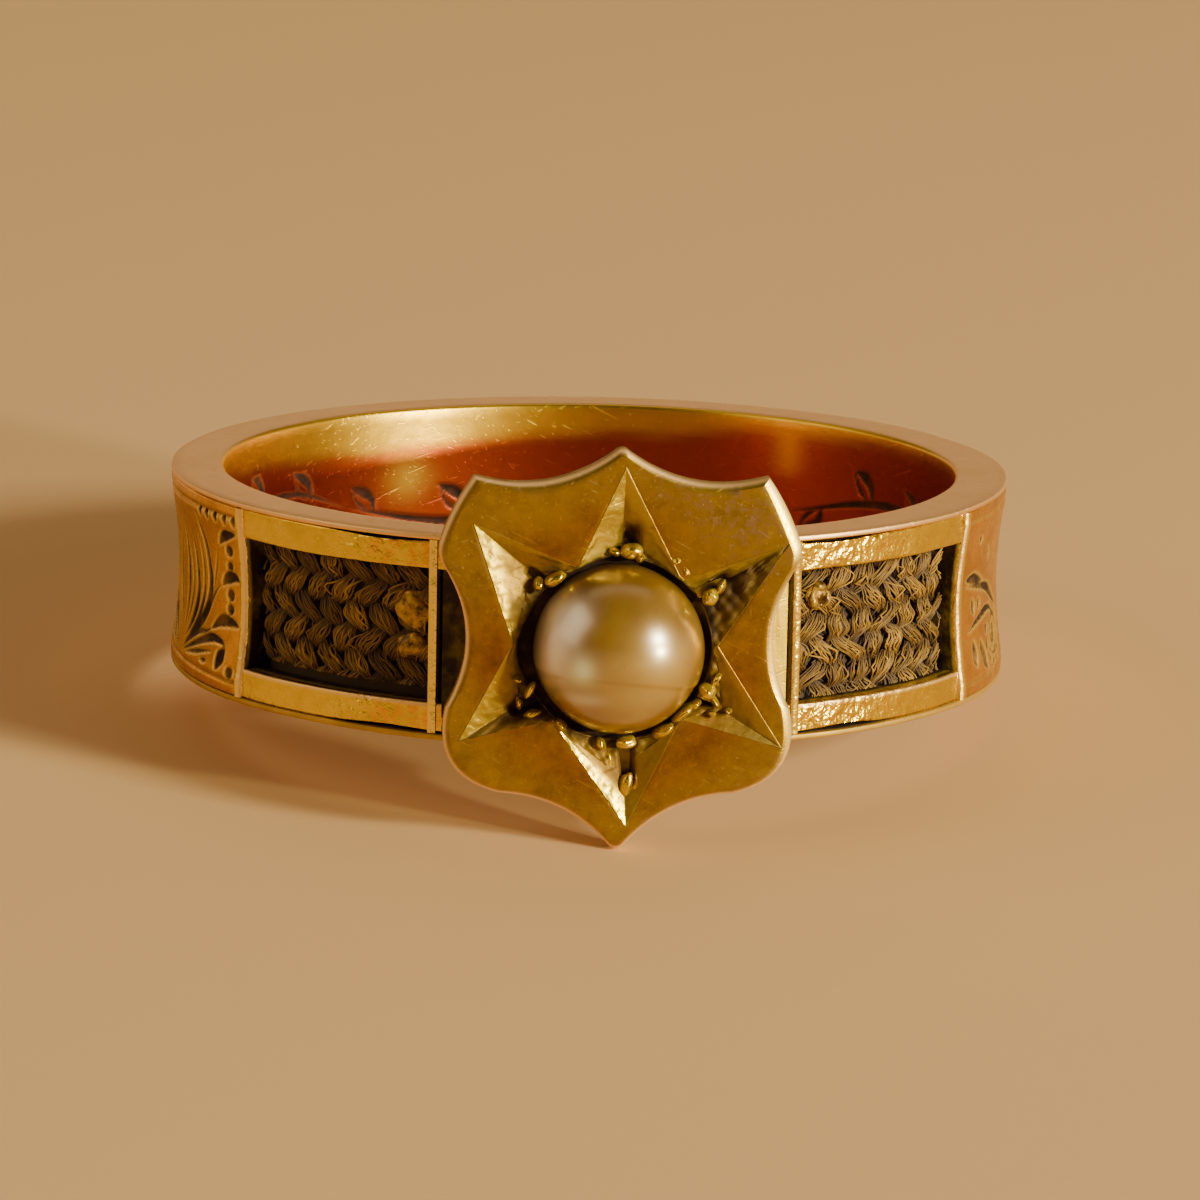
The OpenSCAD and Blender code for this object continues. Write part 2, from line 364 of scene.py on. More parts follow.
def gold(name, base, roughness, hollow, grain, tarnished=1.0, streaks=0.0, inside=None, deep=None,
         crumple=0.0, crease=0.15, speckled=None, polished=(1.0, 0.76, 0.17)):
    """Worn gold: a warm metal that shines softly over handling dents, scratches and clouds of tarnish.

    Hollow is how deep the soft dents left by handling are, grain how deep the fine pits, streaks how
    deep the file marks, crumple how deep the creases of thin worn metal and crease how far apart they
    are, all in millimetres. Tarnished is how far the tarnish has gone, from 0 to 1. The piece's marks
    say where old dirt and painted shade lie (grime), where the graver or the buff has left it
    polished and where a highlight is painted (bright), where an edge is painted pale as a highlight
    (edge), where it has the second and third colours (inside and deep, the third being painted shade in
    the bore), where it is creased (worn) and where it is speckled (speckled)."""
    material, tree = new_material(name)
    place = add(tree, "ShaderNodeTexCoord").outputs["Object"]
    # Soft dents 0.8 mm across and smaller ones 0.25 mm across, then pits. Real pits are finer than
    # the 0.06 mm used here, which is the finest that shows in the picture. Tarnish lies in clouds
    # about 0.5 mm across, mottled by 0.12 mm ones. Speckles and creases come last
    dents, dimples, pits, clouds, mottling, patches, wrinkles = (
        add(tree, "ShaderNodeTexNoise", {
            "Vector": place, "Scale": noise_scale(size), "Detail": detail, "Roughness": fine})
        for size, detail, fine in ((0.8, 2.0, 0.5), (0.25, 2.0, 0.5), (0.06, 3.0, 0.6), (0.45, 4.0, 0.62),
                                   (0.12, 3.0, 0.7), (0.14, 4.0, 0.75), (crease, 2.0, 0.55)))
    grime, bright, edge, second, third, worn, patchy = (
        add(tree, "ShaderNodeAttribute", attribute_name=mark).outputs["Fac"]
        for mark in ("grime", "bright", "edge", "inside", "deep", "worn", "speckled"))
    scratches = hairlines(tree, place)
    rubbed = add(tree, "ShaderNodeMath", (bright, edge), operation="MAXIMUM")
    dull = add(tree, "ShaderNodeMath", (1.0, rubbed), operation="SUBTRACT")
    outside = add(tree, "ShaderNodeMath", (1.0, second), operation="SUBTRACT")
    mottle = add(tree, "ShaderNodeMath", (mottling, 0.6, clouds), operation="MULTIPLY_ADD")
    stained = add(tree, "ShaderNodeMapRange", (mottle, 0.66, 0.98, 0.0, tarnished))
    tarnish = add(tree, "ShaderNodeMath", (stained, dull), operation="MULTIPLY")
    caked = add(tree, "ShaderNodeMapRange", (clouds, 0.3, 0.6, 0.8, 1.1))
    # This is old dirt and painted shade together, clumped by the clouds
    dirt = add(tree, "ShaderNodeMath", (grime, caked), operation="MULTIPLY", use_clamp=True)
    pricks = add(tree, "ShaderNodeMapRange", (pits, 0.62, 0.7))
    open_metal = add(tree, "ShaderNodeMath", (dull, outside), operation="MULTIPLY")
    specks = add(tree, "ShaderNodeMath", (pricks, open_metal), operation="MULTIPLY")
    freckles = add(tree, "ShaderNodeMapRange", (patches, 0.44, 0.6))
    freckles = add(tree, "ShaderNodeMath", (freckles, patchy), operation="MULTIPLY")
    # Each colour lies over the ones before it: where, how thickly, its tint and how it mixes. The edge
    # tint is a painted pale highlight, the tint where it is bright is polish and painted highlight, and
    # the grime colour is dirt and painted shade
    speck_tint = [min(1.0, c * k) for c, k in zip(base, (1.35, 1.4, 2.4))]
    surface = (*base, 1)
    for where, share, tint, way in (
            (second, 1.0, inside, "MIX"), (third, 1.0, deep, "MIX"),
            (tarnish, 1.0, (0.58, 0.52, 0.4), "MULTIPLY"), (specks, 0.6, speck_tint, "MIX"),
            (freckles, 1.0, speckled, "MIX"), (bright, 0.85, polished, "MIX"),
            (edge, 0.9, (0.98, 0.68, 0.36), "MIX"), (dirt, 1.0, colour_of("grime"), "MIX")):
        if tint is not None:
            amount = add(tree, "ShaderNodeMath", (where, share), operation="MULTIPLY")
            surface = add(tree, "ShaderNodeMix", {0: amount, 6: surface, 7: (*tint, 1)},
                          data_type="RGBA", blend_type=way).outputs[2]
    rough = roughness
    for where, more in ((edge, 0.3), (bright, -roughness * 0.2), (scratches, 0.12), (tarnish, 0.1),
                        (dirt, 0.45)):
        rough = add(tree, "ShaderNodeMath", (where, more, rough), operation="MULTIPLY_ADD")
    rough.use_clamp = True
    metallic = add(tree, "ShaderNodeMath", (dirt, -0.9, 1.0), operation="MULTIPLY_ADD")
    # The relief: what stands up, how far in millimetres, and how strongly it shows
    relief = [(dents, hollow * 2.2, 0.6), (dimples, hollow * 0.8, 0.6), (pits, grain, 0.5),
              (specks, -grain * 0.6, 0.4), (scratches, -0.004, 0.5)]
    if streaks:
        # File marks run up and down, about 0.1 mm apart
        upright = add(tree, "ShaderNodeMapping", {"Vector": place, "Scale": (1, 1, 0.04)})
        marks = add(tree, "ShaderNodeTexNoise", {
            "Vector": upright, "Scale": noise_scale(0.1), "Detail": 2.0, "Roughness": 0.5})
        relief.append((marks, streaks, 0.8))
    if crumple:
        creases = add(tree, "ShaderNodeMath", (wrinkles, worn), operation="MULTIPLY")
        relief.append((creases, crumple, 1.0))
    normal = {}
    for height, distance, strength in relief:
        normal = {"Normal": add(tree, "ShaderNodeBump", {
            "Strength": strength, "Distance": distance * MM, "Height": height, **normal})}
    shader = add(tree, "ShaderNodeBsdfPrincipled", {
        "Base Color": surface, "Metallic": metallic, "Roughness": rough, **normal})
    add(tree, "ShaderNodeOutputMaterial", [shader])
    return material


def colour_of(name, share=1.0):
    """One of the ring's colours, darkened to a share of itself."""
    return [c * share for c in getattr(bpy.context.scene.ring_colours, name)]


def yellow_gold():
    """Engraved yellow gold, buffed and then worn: warm and even, brown in the cuts, with bright lips."""
    return kept("engraved yellow gold", lambda name: gold(
        name, colour_of("panel_gold"), 0.26, 0.008, 0.002, 0.7, polished=(1.0, 0.72, 0.2)))


def rail_gold():
    """Thin rolled yellow gold strip: glossy and creased by wear, so it glints in many small patches."""
    return kept("worn yellow gold rails", lambda name: gold(
        name, colour_of("rail_gold"), 0.22, 0.03, 0.003, 0.4, crumple=0.1, speckled=linear("#F6AA26")))


def rose_gold():
    """Polished rose gold: pinkish and smooth on the flanges, golden in the bore, with deep copper red
    painted over the bore's lower part as shade.
    """
    return kept("polished rose gold", lambda name: gold(
        name, colour_of("rose_gold"), 0.34, 0.012, 0.0014, 0.15, inside=colour_of("bore_gold"),
        deep=colour_of("bore_shade")))


def satin_gold():
    """Satin-finished yellow gold plate: a face darkened to olive brown as a painted dark reflection, and
    hammered facets painted bright as highlights where they flash.
    """
    return kept("satin yellow gold", lambda name: gold(
        name, colour_of("yellow_gold", 0.5), 0.34, 0.006, 0.006, inside=linear("#A0640E"),
        crumple=0.09, crease=0.3, speckled=linear("#A28260"), polished=(0.72, 0.58, 0.05)))


def filed_gold():
    """Yellow gold left from the file: bright, with fine upright marks."""
    return kept("filed yellow gold", lambda name: gold(
        name, colour_of("rail_gold", 0.8), 0.3, 0.006, 0.002, 0.6, streaks=0.02))


def hair_material(name):
    """Human hair: brown, each hair a little lighter or darker at random and painted darker as shade deep in
    the weave, with a soft long highlight.
    """
    material, tree = new_material(name)
    shade = add(tree, "ShaderNodeAttribute", attribute_name="shade").outputs["Fac"]
    base = add(tree, "ShaderNodeMix", {
        0: shade, 6: (*colour_of("hair_dark"), 1), 7: (*colour_of("hair_light"), 1)}, data_type="RGBA")
    shader = add(tree, "ShaderNodeBsdfPrincipled", {
        "Base Color": base.outputs[2], "Roughness": 0.58, "IOR": 1.5, "Sheen Weight": 0.1,
        "Sheen Roughness": 0.4})
    add(tree, "ShaderNodeOutputMaterial", [shader])
    return material


def resin_material(name):
    """Old shellac: golden brown, cloudy and crazed, with a dull shine."""
    material, tree = new_material(name)
    place = add(tree, "ShaderNodeTexCoord").outputs["Object"]
    # Clouds 0.16 mm across, and a crazed surface of 0.05 mm
    clouds = add(tree, "ShaderNodeTexNoise", {
        "Vector": place, "Scale": noise_scale(0.16), "Detail": 3.0, "Roughness": 0.65})
    crazing = add(tree, "ShaderNodeTexNoise", {
        "Vector": place, "Scale": noise_scale(0.05), "Detail": 2.0, "Roughness": 0.5})
    tone = add(tree, "ShaderNodeMapRange", (clouds, 0.4, 0.62))
    body = add(tree, "ShaderNodeMix", {
        0: tone, 6: (*linear("#4E3208"), 1), 7: (*linear("#C49A3A"), 1)}, data_type="RGBA")
    lumps = add(tree, "ShaderNodeBump", {"Strength": 0.8, "Distance": 0.05 * MM, "Height": clouds})
    skin = add(tree, "ShaderNodeBump", {
        "Strength": 0.7, "Distance": 0.006 * MM, "Height": crazing, "Normal": lumps})
    shader = add(tree, "ShaderNodeBsdfPrincipled", {
        "Base Color": body.outputs[2], "Metallic": 0.35, "Roughness": 0.34, "IOR": 1.52, "Normal": skin})
    add(tree, "ShaderNodeOutputMaterial", [shader])
    return material


def pearl_material(name):
    """Nacre: a soft golden beige under a deep clear lustre, with green and lilac overtones that are partly
    painted reflection and painted light, and pale patches of painted light.
    """
    material, tree = new_material(name)
    place = add(tree, "ShaderNodeTexCoord").outputs["Object"]
    # Clouds 0.86 mm across over a faint grain of 0.07 mm
    clouds, grain = (
        add(tree, "ShaderNodeTexNoise", {
            "Vector": place, "Scale": noise_scale(size), "Detail": 3.0, "Roughness": 0.5})
        for size in (6 / 7, 1 / 15))
    tone = add(tree, "ShaderNodeMapRange", (clouds, 0.35, 0.7))
    body = add(tree, "ShaderNodeMix", {
        0: tone, 6: (*colour_of("pearl"), 1), 7: (*linear("#86601C"), 1)}, data_type="RGBA")
    # Green and lilac patches are overtones partly painted as reflection and as light on the shaded left; the
    # pale patches are painted light on the right and lower middle
    overtones = 0.0
    for where, hex_colour, most in (("green", "#F4FFD8", 0.95), ("lilac", "#FFF6EA", 1.0),
                                    ("pale", "#AC8C40", 0.6)):
        there = add(tree, "ShaderNodeAttribute", attribute_name=where).outputs["Fac"]
        amount = add(tree, "ShaderNodeMath", (there, most), operation="MULTIPLY", use_clamp=True)
        body = add(tree, "ShaderNodeMix", {
            0: amount, 6: body.outputs[2], 7: (*linear(hex_colour), 1)}, data_type="RGBA")
        overtones = add(tree, "ShaderNodeMath", (overtones, amount), operation="ADD", use_clamp=True)
    metallic = add(tree, "ShaderNodeMath", (overtones, -0.35, 0.4), operation="MULTIPLY_ADD")
    skin = add(tree, "ShaderNodeBump", {"Strength": 0.15, "Distance": 0.01 * MM, "Height": grain})
    shader = add(tree, "ShaderNodeBsdfPrincipled", {
        "Base Color": body.outputs[2], "Metallic": metallic, "Roughness": 0.33, "IOR": 1.68,
        "Coat Weight": 1.0, "Coat Roughness": 0.24, "Coat IOR": 2.1, "Normal": skin})
    add(tree, "ShaderNodeOutputMaterial", [shader])
    return material


def floor_material(name):
    """Matt studio card: plain and pale, with only a faint unevenness."""
    material, tree = new_material(name)
    place = add(tree, "ShaderNodeTexCoord").outputs["Object"]
    fibres = add(tree, "ShaderNodeTexNoise", {
        "Vector": place, "Scale": noise_scale(0.2), "Detail": 3.0, "Roughness": 0.5})
    skin = add(tree, "ShaderNodeBump", {"Strength": 0.1, "Distance": 0.02 * MM, "Height": fibres})
    shader = add(tree, "ShaderNodeBsdfPrincipled", {
        "Base Color": (*colour_of("floor"), 1), "Roughness": 0.85, "Normal": skin})
    add(tree, "ShaderNodeOutputMaterial", [shader])
    return material


# ---- Engraving ---------------------------------------------------------------------------------

def smooth_line(knots, step):
    """Points about step apart along a smooth curve through the knots."""
    p = np.asarray(knots, float)
    if len(p) == 1:
        return p
    p = np.vstack([2 * p[0] - p[1], p, 2 * p[-1] - p[-2]])
    out = []
    for a, b, c, d in zip(p[:-3], p[1:-2], p[2:-1], p[3:]):
        t = np.linspace(0, 1, max(2, math.ceil(np.linalg.norm(c - b) / step)), endpoint=False)[:, None]
        out.append(0.5 * (2 * b + (c - a) * t + (2 * a - 5 * b + 4 * c - d) * t ** 2
                          + (3 * b - a - 3 * c + d) * t ** 3))
    return np.vstack(out + [p[-2:-1]])


# How much wider the worn cuts are than the graver made them
CUT_WIDTH = 1.75


def engrave(along, up, cuts, slope):
    """The depth of each point of a grid of places under the cuts. A cut is (knots, width, swell):
    its width, and where along it, from 0 to 1, it is widest."""
    depth = np.zeros((len(along), len(up)))
    for knots, width, swell in cuts:
        line = smooth_line(knots, 0.03)
        t = np.linspace(0, 1, len(line)) if len(line) > 1 else np.array([swell])
        rise = np.where(t < swell, t / max(swell, 1e-6), (1 - t) / max(1 - swell, 1e-6))
        half = CUT_WIDTH * width / 2 * np.sqrt(np.clip(rise, 0.04, 1))
        for (s, z), h in zip(line, half):
            i0, i1 = np.searchsorted(along, (s - h, s + h))
            j0, j1 = np.searchsorted(up, (z - h, z + h))
            if i1 > i0 and j1 > j0:
                gap = np.hypot(along[i0:i1, None] - s, up[None, j0:j1] - z)
                patch = depth[i0:i1, j0:j1]
                np.maximum(patch, (h - gap) * slope, out=patch)
    return depth


def palmette(middle, way=1):
    """One half of a leaf fan that springs from the lower border. Way is the side that it opens to."""
    def at(*knots):
        """Places from pairs of a distance from the fan's middle line and a height."""
        return [(middle - way * u, z) for u, z in knots]

    cuts = [
        (at((0.2, -1.66), (0.7, -1.32), (1.38, -0.86), (1.8, -0.4), (1.98, 0.1), (1.94, 0.52), (1.78, 1.05),
            (1.5, 1.45), (1.3, 1.74)), 0.2, 0.35),
        (at((0.45, -1.42), (1.12, -0.86), (1.5, -0.3), (1.6, 0.25), (1.5, 0.85), (1.22, 1.36)), 0.12, 0.4),
        (at((0.3, -1.4), (0.89, -0.79), (1.16, -0.18), (1.1, 0.5), (0.85, 1.2)), 0.17, 0.4),
        (at((0.25, -1.2), (0.62, -0.62), (0.8, 0.0), (0.7, 0.62), (0.5, 1.1)), 0.11, 0.4),
        (at((0.12, -1.3), (0.34, -0.6), (0.42, 0.1), (0.3, 0.9), (0.12, 1.4)), 0.16, 0.45),
        (at((0.6, -1.3), (1.5, -0.86), (2.05, -0.2), (2.35, 0.1), (2.6, 0.24)), 0.11, 0.6),
        (at((2.1, -0.1), (2.3, 0.5), (2.42, 0.9), (2.55, 1.19)), 0.07, 0.5),
        (at((0.5, -1.52), (1.3, -1.1), (1.8, -0.98), (2.11, -0.86)), 0.12, 0.6),
        (at((2.11, -0.86), (2.58, -0.6), (3.07, -0.56), (3.43, -0.63)), 0.21, 0.45),
        (at((2.6, 0.22), (2.85, 0.42), (3.18, 0.49), (3.42, 0.42)), 0.21, 0.45),
        (at((2.55, 1.17), (2.84, 1.4), (3.36, 1.5)), 0.19, 0.45),
        (at((0.14, -1.74), (1.07, -1.41), (1.68, -1.2), (2.2, -1.06), (2.7, -1.09), (2.88, -1.26)),
         0.16, 0.7),
        (at((0.4, -1.72), (1.2, -1.56), (1.9, -1.42), (2.3, -1.36)), 0.1, 0.5),
        (at((2.82, -1.24), (2.72, -1.36), (2.58, -1.56), (2.5, -1.74)), 0.24, 0.45),
        (at((1.6, -1.66), (2.0, -1.64)), 0.1, 0.5),
    ]
    for z, size in ((1.06, 0.2), (0.7, 0.17), (0.04, 0.21), (-0.29, 0.19), (-1.72, 0.2)):
        u = 3.0 if z > -1 else 3.14
        cuts.append((at((u + 0.1, z), (u - 0.08, z + 0.03)), size, 0.5))
    for u in (1.62, 2.0, 2.45, 2.9, 3.3):
        cuts.append((at((u, 1.84), (u + 0.05, 1.66)), 0.13, 0.1))
    return cuts


def volute(middle, height, size, way=1, up=1):
    """A spiral leaf with lobes round its outside."""
    def at(*knots):
        """Places from pairs of a direction and a distance from the spiral's middle."""
        return [(middle + way * far * math.cos(t), height + up * far * math.sin(t)) for t, far in knots]

    turns = np.linspace(0, 3.5 * math.pi, 30)
    cuts = [(at(*[(t + 2.4, size * (1.25 - 0.28 * t / math.pi)) for t in turns]),
             0.18 * min(1, size + 0.2), 0.75)]
    for k in range(9):
        t, r = 2.75 + k * 0.52, size * (1.3 - 0.04 * k)
        cuts.append((at((t, r + 0.04), (t + 0.2, r + 0.3 * size), (t + 0.34, r + 0.06)), 0.14, 0.5))
        cuts.append((at((t + 0.2, r - 0.08), (t + 0.2, r - 0.34 * size)), 0.1, 0.25))
    cuts.append(([(middle, height)], 0.26, 0.5))
    return cuts


def panel_cuts(length_mm):
    """The cuts of the whole engraved panel, from the left window's end round to the right one's: a
    double leaf fan, four scrolls that turn up and down in turn, and a spray of leaves."""
    fan, spray, scrolls = 3.72, 5.2, 4
    cuts = palmette(fan, 1) + palmette(fan, -1)
    step = (length_mm - 2 * fan - spray) / scrolls
    for k in range(scrolls):
        middle = 2 * fan + step * (k + 0.5)
        side = 1 if k % 2 else -1
        cuts += volute(middle - 1.9 * side, 0.25 * side, 1.02, way=side, up=side)
        cuts += volute(middle + 2.1 * side, -0.75 * side, 0.62, way=-side, up=-side)
        for knots, wide, fullest in (
                (((-3.3, -1.3), (-1.2, -1.35), (0.4, -0.4), (1.5, 0.75), (3.4, 1.35)), 0.2, 0.5),
                (((0.9, 0.95), (1.9, 1.5), (3.0, 1.62)), 0.13, 0.4),
                (((1.2, 0.2), (2.1, 0.45), (3.1, 0.85)), 0.13, 0.4),
                (((-3.4, -1.62), (-2.2, -1.72), (-0.9, -1.68)), 0.12, 0.5),
                (((-0.35, -0.75), (0.25, -1.2), (0.4, -1.7)), 0.15, 0.3),
                (((-0.3, -0.55), (-0.35, 0.4), (-0.1, 1.0)), 0.15, 0.4),
                (((-0.1, 0.0), (0.25, 0.75), (0.3, 1.5)), 0.13, 0.4)):
            cuts.append(([(middle + side * x, side * z) for x, z in knots], wide, fullest))
    for knots, wide, fullest in (
            (((0.5, 0.5), (1.1, 0.46), (1.75, 0.3)), 0.2, 0.4),
            (((0.5, 0.36), (2.0, 0.14), (2.7, -0.18), (3.5, -0.6)), 0.17, 0.55),
            (((0.65, -0.78), (1.35, -0.56), (2.4, -0.42), (3.2, -0.8)), 0.15, 0.5),
            (((1.0, -0.95), (1.17, -1.6)), 0.22, 0.6),
            (((1.5, -1.0), (1.72, -1.4), (2.0, -1.8)), 0.24, 0.6),
            (((0.95, 0.02), (1.1, -0.4)), 0.16, 0.5),
            (((1.4, -0.02), (1.5, -0.32)), 0.14, 0.5),
            (((1.15, 1.42), (1.3, 1.3)), 0.14, 0.5),
            (((1.9, 1.15), (2.1, 0.7)), 0.12, 0.5)):
        cuts.append(([(length_mm - x, z) for x, z in knots], wide, fullest))
    cuts += volute(length_mm - 2.85, -1.05, 0.5, way=-1)
    return cuts


def vine_cuts(round_mm):
    """A running leaf vine for the inside of the band, light on the upstroke and heavy on the down."""
    cuts = []
    count = 9
    pitch = round_mm / count
    for k in range(count):
        s, side = k * pitch, 1 if k % 2 else -1
        cuts.append(([(s, 0), (s + 0.28 * pitch, 0.55 * side), (s + 0.6 * pitch, 0.5 * side),
                      (s + pitch, 0)], 0.15, 0.5))
        for t, reach, turn in ((0.2, 0.85, 1), (0.55, 0.95, 1), (0.42, 0.8, -1), (0.85, 0.7, -1)):
            x, z = s + t * pitch, 0.45 * side * math.sin(math.pi * t)
            tip = (x + 0.75, z + side * turn * reach)
            cuts.append(([(x, z), (x + 0.16, z + side * turn * reach * 0.62), tip], 0.2, 0.6))
            cuts.append(([(x + 0.1, z + side * turn * 0.06), (x + 0.5, z + side * turn * reach * 0.4), tip],
                         0.1, 0.4))
    return cuts


# ---- The band ----------------------------------------------------------------------------------

class RING_OT_liner(bpy.types.Operator):
    """Makes the rose-gold inner sleeve, with a leaf vine cut lightly round its inside"""
    bl_idname = "ring.liner"
    bl_label = "Inner sleeve"
    # How far the vine may reach above and below the middle of the bore
    vine_reach = 1.25

    def execute(self, context):
        band = context.scene.ring_band
        bore, half, flange = mm(band.bore), mm(band.height) / 2, mm(band.flange)
        wall, out = mm(band.liner_outer), mm(band.border_outer)
        outline = rounded([(bore, -half, 0.1), (out, -half, 0.05), (out, flange - half, 0.03),
                           (wall, flange - half, 0), (wall, half - flange, 0), (out, half - flange, 0.03),
                           (out, half, 0.05), (bore, half, 0.1)])
        outline = split_long(outline, 0.21)
        # The stretch of the bore that carries the vine has closer points
        inner = np.isclose(outline[:, 0], bore, atol=1e-6)
        order = np.flatnonzero(~(inner & (np.abs(outline[:, 1]) < self.vine_reach + 0.02)))
        last = order[inner[order] & (outline[order, 1] > 0)][-1]
        profile = []
        for i in order:
            profile.append(outline[i])
            if i == last:
                profile.extend([bore, z] for z in np.linspace(self.vine_reach, -self.vine_reach, 60))
        profile = np.array(profile)
        angles = np.linspace(-math.pi, math.pi, 760, endpoint=False)
        points, faces = swept(profile, angles, closed=True)
        grid = points.reshape(len(angles), len(profile), 3)
        on_wall = (np.isclose(profile[:, 0], bore, atol=1e-6)
                   & (np.abs(profile[:, 1]) <= self.vine_reach + 0.01))
        rows = np.flatnonzero(on_wall)
        rows = rows[np.argsort(profile[rows, 1])]
        depth = engrave((angles + math.pi) * bore, profile[rows, 1], vine_cuts(2 * math.pi * bore),
                        slope=0.4)
        out_way = grid[:, :, :2] / np.linalg.norm(grid[:, :, :2], axis=2, keepdims=True)
        push = np.zeros(grid.shape[:2])
        push[:, rows] = np.minimum(depth, 0.06)
        grid[:, :, :2] += out_way * push[:, :, None]
        # The edges of a worn ring are never quite true
        grid[:, :, 2] += 0.012 * ripple(grid, 2.5, 3) * (np.abs(profile[None, :, 1]) > 1.5)
        uneven = 0.008 * ripple(grid, 3, 5) * (profile[None, :, 0] > wall)
        grid[:, :, :2] += out_way * uneven[:, :, None]
        # Dark marks: dirt and painted shade in the vine's cuts, and painted shade over the wall hidden
        # behind the outer sleeve
        grime = np.zeros(grid.shape[:2])
        grime[:, rows] = (depth / 0.02).clip(0, 1) * 0.92
        between = (profile[:, 0] > bore + 0.2) & (profile[:, 0] < out - 0.1)
        grime[:, between & (np.abs(profile[:, 1]) < half - 0.05)] = 1
        # The lower flange takes the colour of the bore and its edge is darkened, partly as wear and dirt,
        # partly as painted shade
        foot = (profile[:, 1] < 0.01 + flange - half) & (profile[:, 0] > out - 0.1)
        grime[:, foot] = 0.4
        inner_wall = ((bore + 0.09 - profile[:, 0]) / 0.05).clip(0, 1)
        inside = np.broadcast_to(np.maximum(inner_wall, 0.7 * foot), grime.shape)

        def beside(angle, wide):
            """How near each direction is to an angle, from 0 to 1."""
            away = (angles[:, None] - angle + math.pi) % (2 * math.pi) - math.pi
            return np.exp(-(away / wide) ** 2)

        # The bore keeps its gold at the top. Below a line that follows where the light leaves the wall it is
        # painted deep copper red as shade, and two lighter spots further down are painted reflections
        down = half - profile[None, :, 1] + 0.1 * ripple(grid, 1.2, 7)
        line = 0.16 + 0.3 * beside(2.9, 0.7) + 0.8 * beside(-2.4, 0.75)
        deep = 1 / (1 + np.exp((line - down) / 0.07))
        deep = deep * (1 - 0.85 * beside(-2.66, 0.07) * np.exp(-((down - 1.75) / 0.5) ** 2))
        deep = deep * (1 - 0.75 * beside(2.46, 0.05) * np.exp(-((down - 0.6) / 0.7) ** 4))
        deep = deep * inner_wall
        # The upper flange's outer edge is painted pale as a highlight
        rubbed = (profile[:, 0] > out - 0.06) & (profile[:, 1] > half - 0.08)
        edge = np.broadcast_to(rubbed, grime.shape) * 0.35
        piece = make_piece("liner_sleeve", points, faces, rose_gold(),
                           {"grime": grime, "inside": inside, "deep": deep.ravel(), "edge": edge.ravel()})
        settle(piece, "liner")
        return {"FINISHED"}


class RING_OT_panel(bpy.types.Operator):
    """Makes the engraved panel that runs round the sides and the back"""
    bl_idname = "ring.panel"
    bl_label = "Engraved panel"

    def execute(self, context):
        band = context.scene.ring_band
        inner, out = mm(band.sleeve_inner), mm(band.border_outer)
        half = mm(band.sleeve_height) / 2 + SEAM
        chord = half - mm(band.border)
        waist = mm(band.waist)
        bar = mm(band.bar) / mm(band.rail_outer)
        start, stop = band.window_to + bar * 0.8, 2 * math.pi - band.window_to - bar * 0.8
        heights = np.concatenate([[-half + 0.02, -half + 0.045],
                                  np.linspace(-half + 0.09, half - 0.09, 92),
                                  [half - 0.045, half - 0.02]])
        angles = np.linspace(start, stop, 930)
        along = (angles - band.window_to) * out
        hollow = waist * (1 - (heights / chord) ** 2).clip(0)
        # The pattern starts at the left window's end, where the angles end
        run = (2 * math.pi - 2 * band.window_to) * out
        depth = engrave(np.sort(run - along), heights, panel_cuts(run), band.cut_slope)[::-1]
        edge = np.minimum(1, (half - np.abs(heights)) / 0.05)
        round_off = 0.03 * (1 - np.sqrt(np.clip(1 - (1 - edge) ** 2, 0, 1)))
        border_cut = 0.05 * np.exp(-((np.abs(heights) - chord - 0.02) / 0.045) ** 2)
        radius = out - hollow[None, :] - round_off[None, :] - np.minimum(depth, 0.12) - border_cut[None, :]
        # A groove of 0.07 mm sets the panel off from the bars at both ends
        groove = 0.07
        ends = groove * (np.exp(-((along - along[0]) / groove) ** 2)
                         + np.exp(-((along[-1] - along) / groove) ** 2))
        radius = radius - ends[:, None]
        outer = on_band(angles[:, None], radius, heights[None, :])
        outer = outer + 0.006 * ripple(outer, 1.6, 11)[..., None] * outer / out
        lower, edge_low, edge_high, upper = (on_band(angles, r, z)[:, None] for r, z in (
            (inner, -half), (out - 0.03, -half), (out - 0.03, half), (inner, half)))
        grid = np.concatenate([lower, edge_low, outer, edge_high, upper], axis=1)
        rows, columns = grid.shape[:2]
        points, faces = with_ends(grid.reshape(-1, 3), grid_faces(rows, columns, columns_close=True),
                                  rows, columns)
        # Dirt and painted shade fill a cut from 0.03 mm of depth on, dirt and painted shade lie in the
        # border line, and painted shadow lies in the grooves beside the bars
        cut = (depth / 0.03).clip(0, 1)
        grime = np.zeros((rows, columns))
        grime[:, 2:-2] = (cut * 0.95 + 0.4 * border_cut[None, :] / 0.05
                          + 0.8 * ends[:, None] / groove).clip(0, 1)
        # The graver has left a bright lip beside each cut
        lips = np.zeros((rows, columns))
        lips[:, 2:-2] = (np.maximum.reduce([np.roll(cut, step, axis) for axis, step in
                                            ((0, 2), (0, -2), (1, 1), (1, -1))]) - cut).clip(0, 1)
        piece = make_piece("engraved_panel", points, faces, yellow_gold(), {
            "grime": np.append(grime, [0, 0]), "bright": np.append(lips, [0, 0])})
        settle(piece, "outer_band")
        return {"FINISHED"}


def joined(parts):
    """One set of points, faces and marks of dirt and painted shade from several."""
    points, faces, grime, start = [], [], [], 0
    for p, f, g in parts:
        if volume_sign(np.asarray(p), f) < 0:
            f = [face[::-1] for face in f]
        points.append(p)
        grime.append(np.broadcast_to(g, len(p)))
        faces += [[i + start for i in face] for face in f]
        start += len(p)
    return np.vstack(points), faces, np.concatenate(grime)


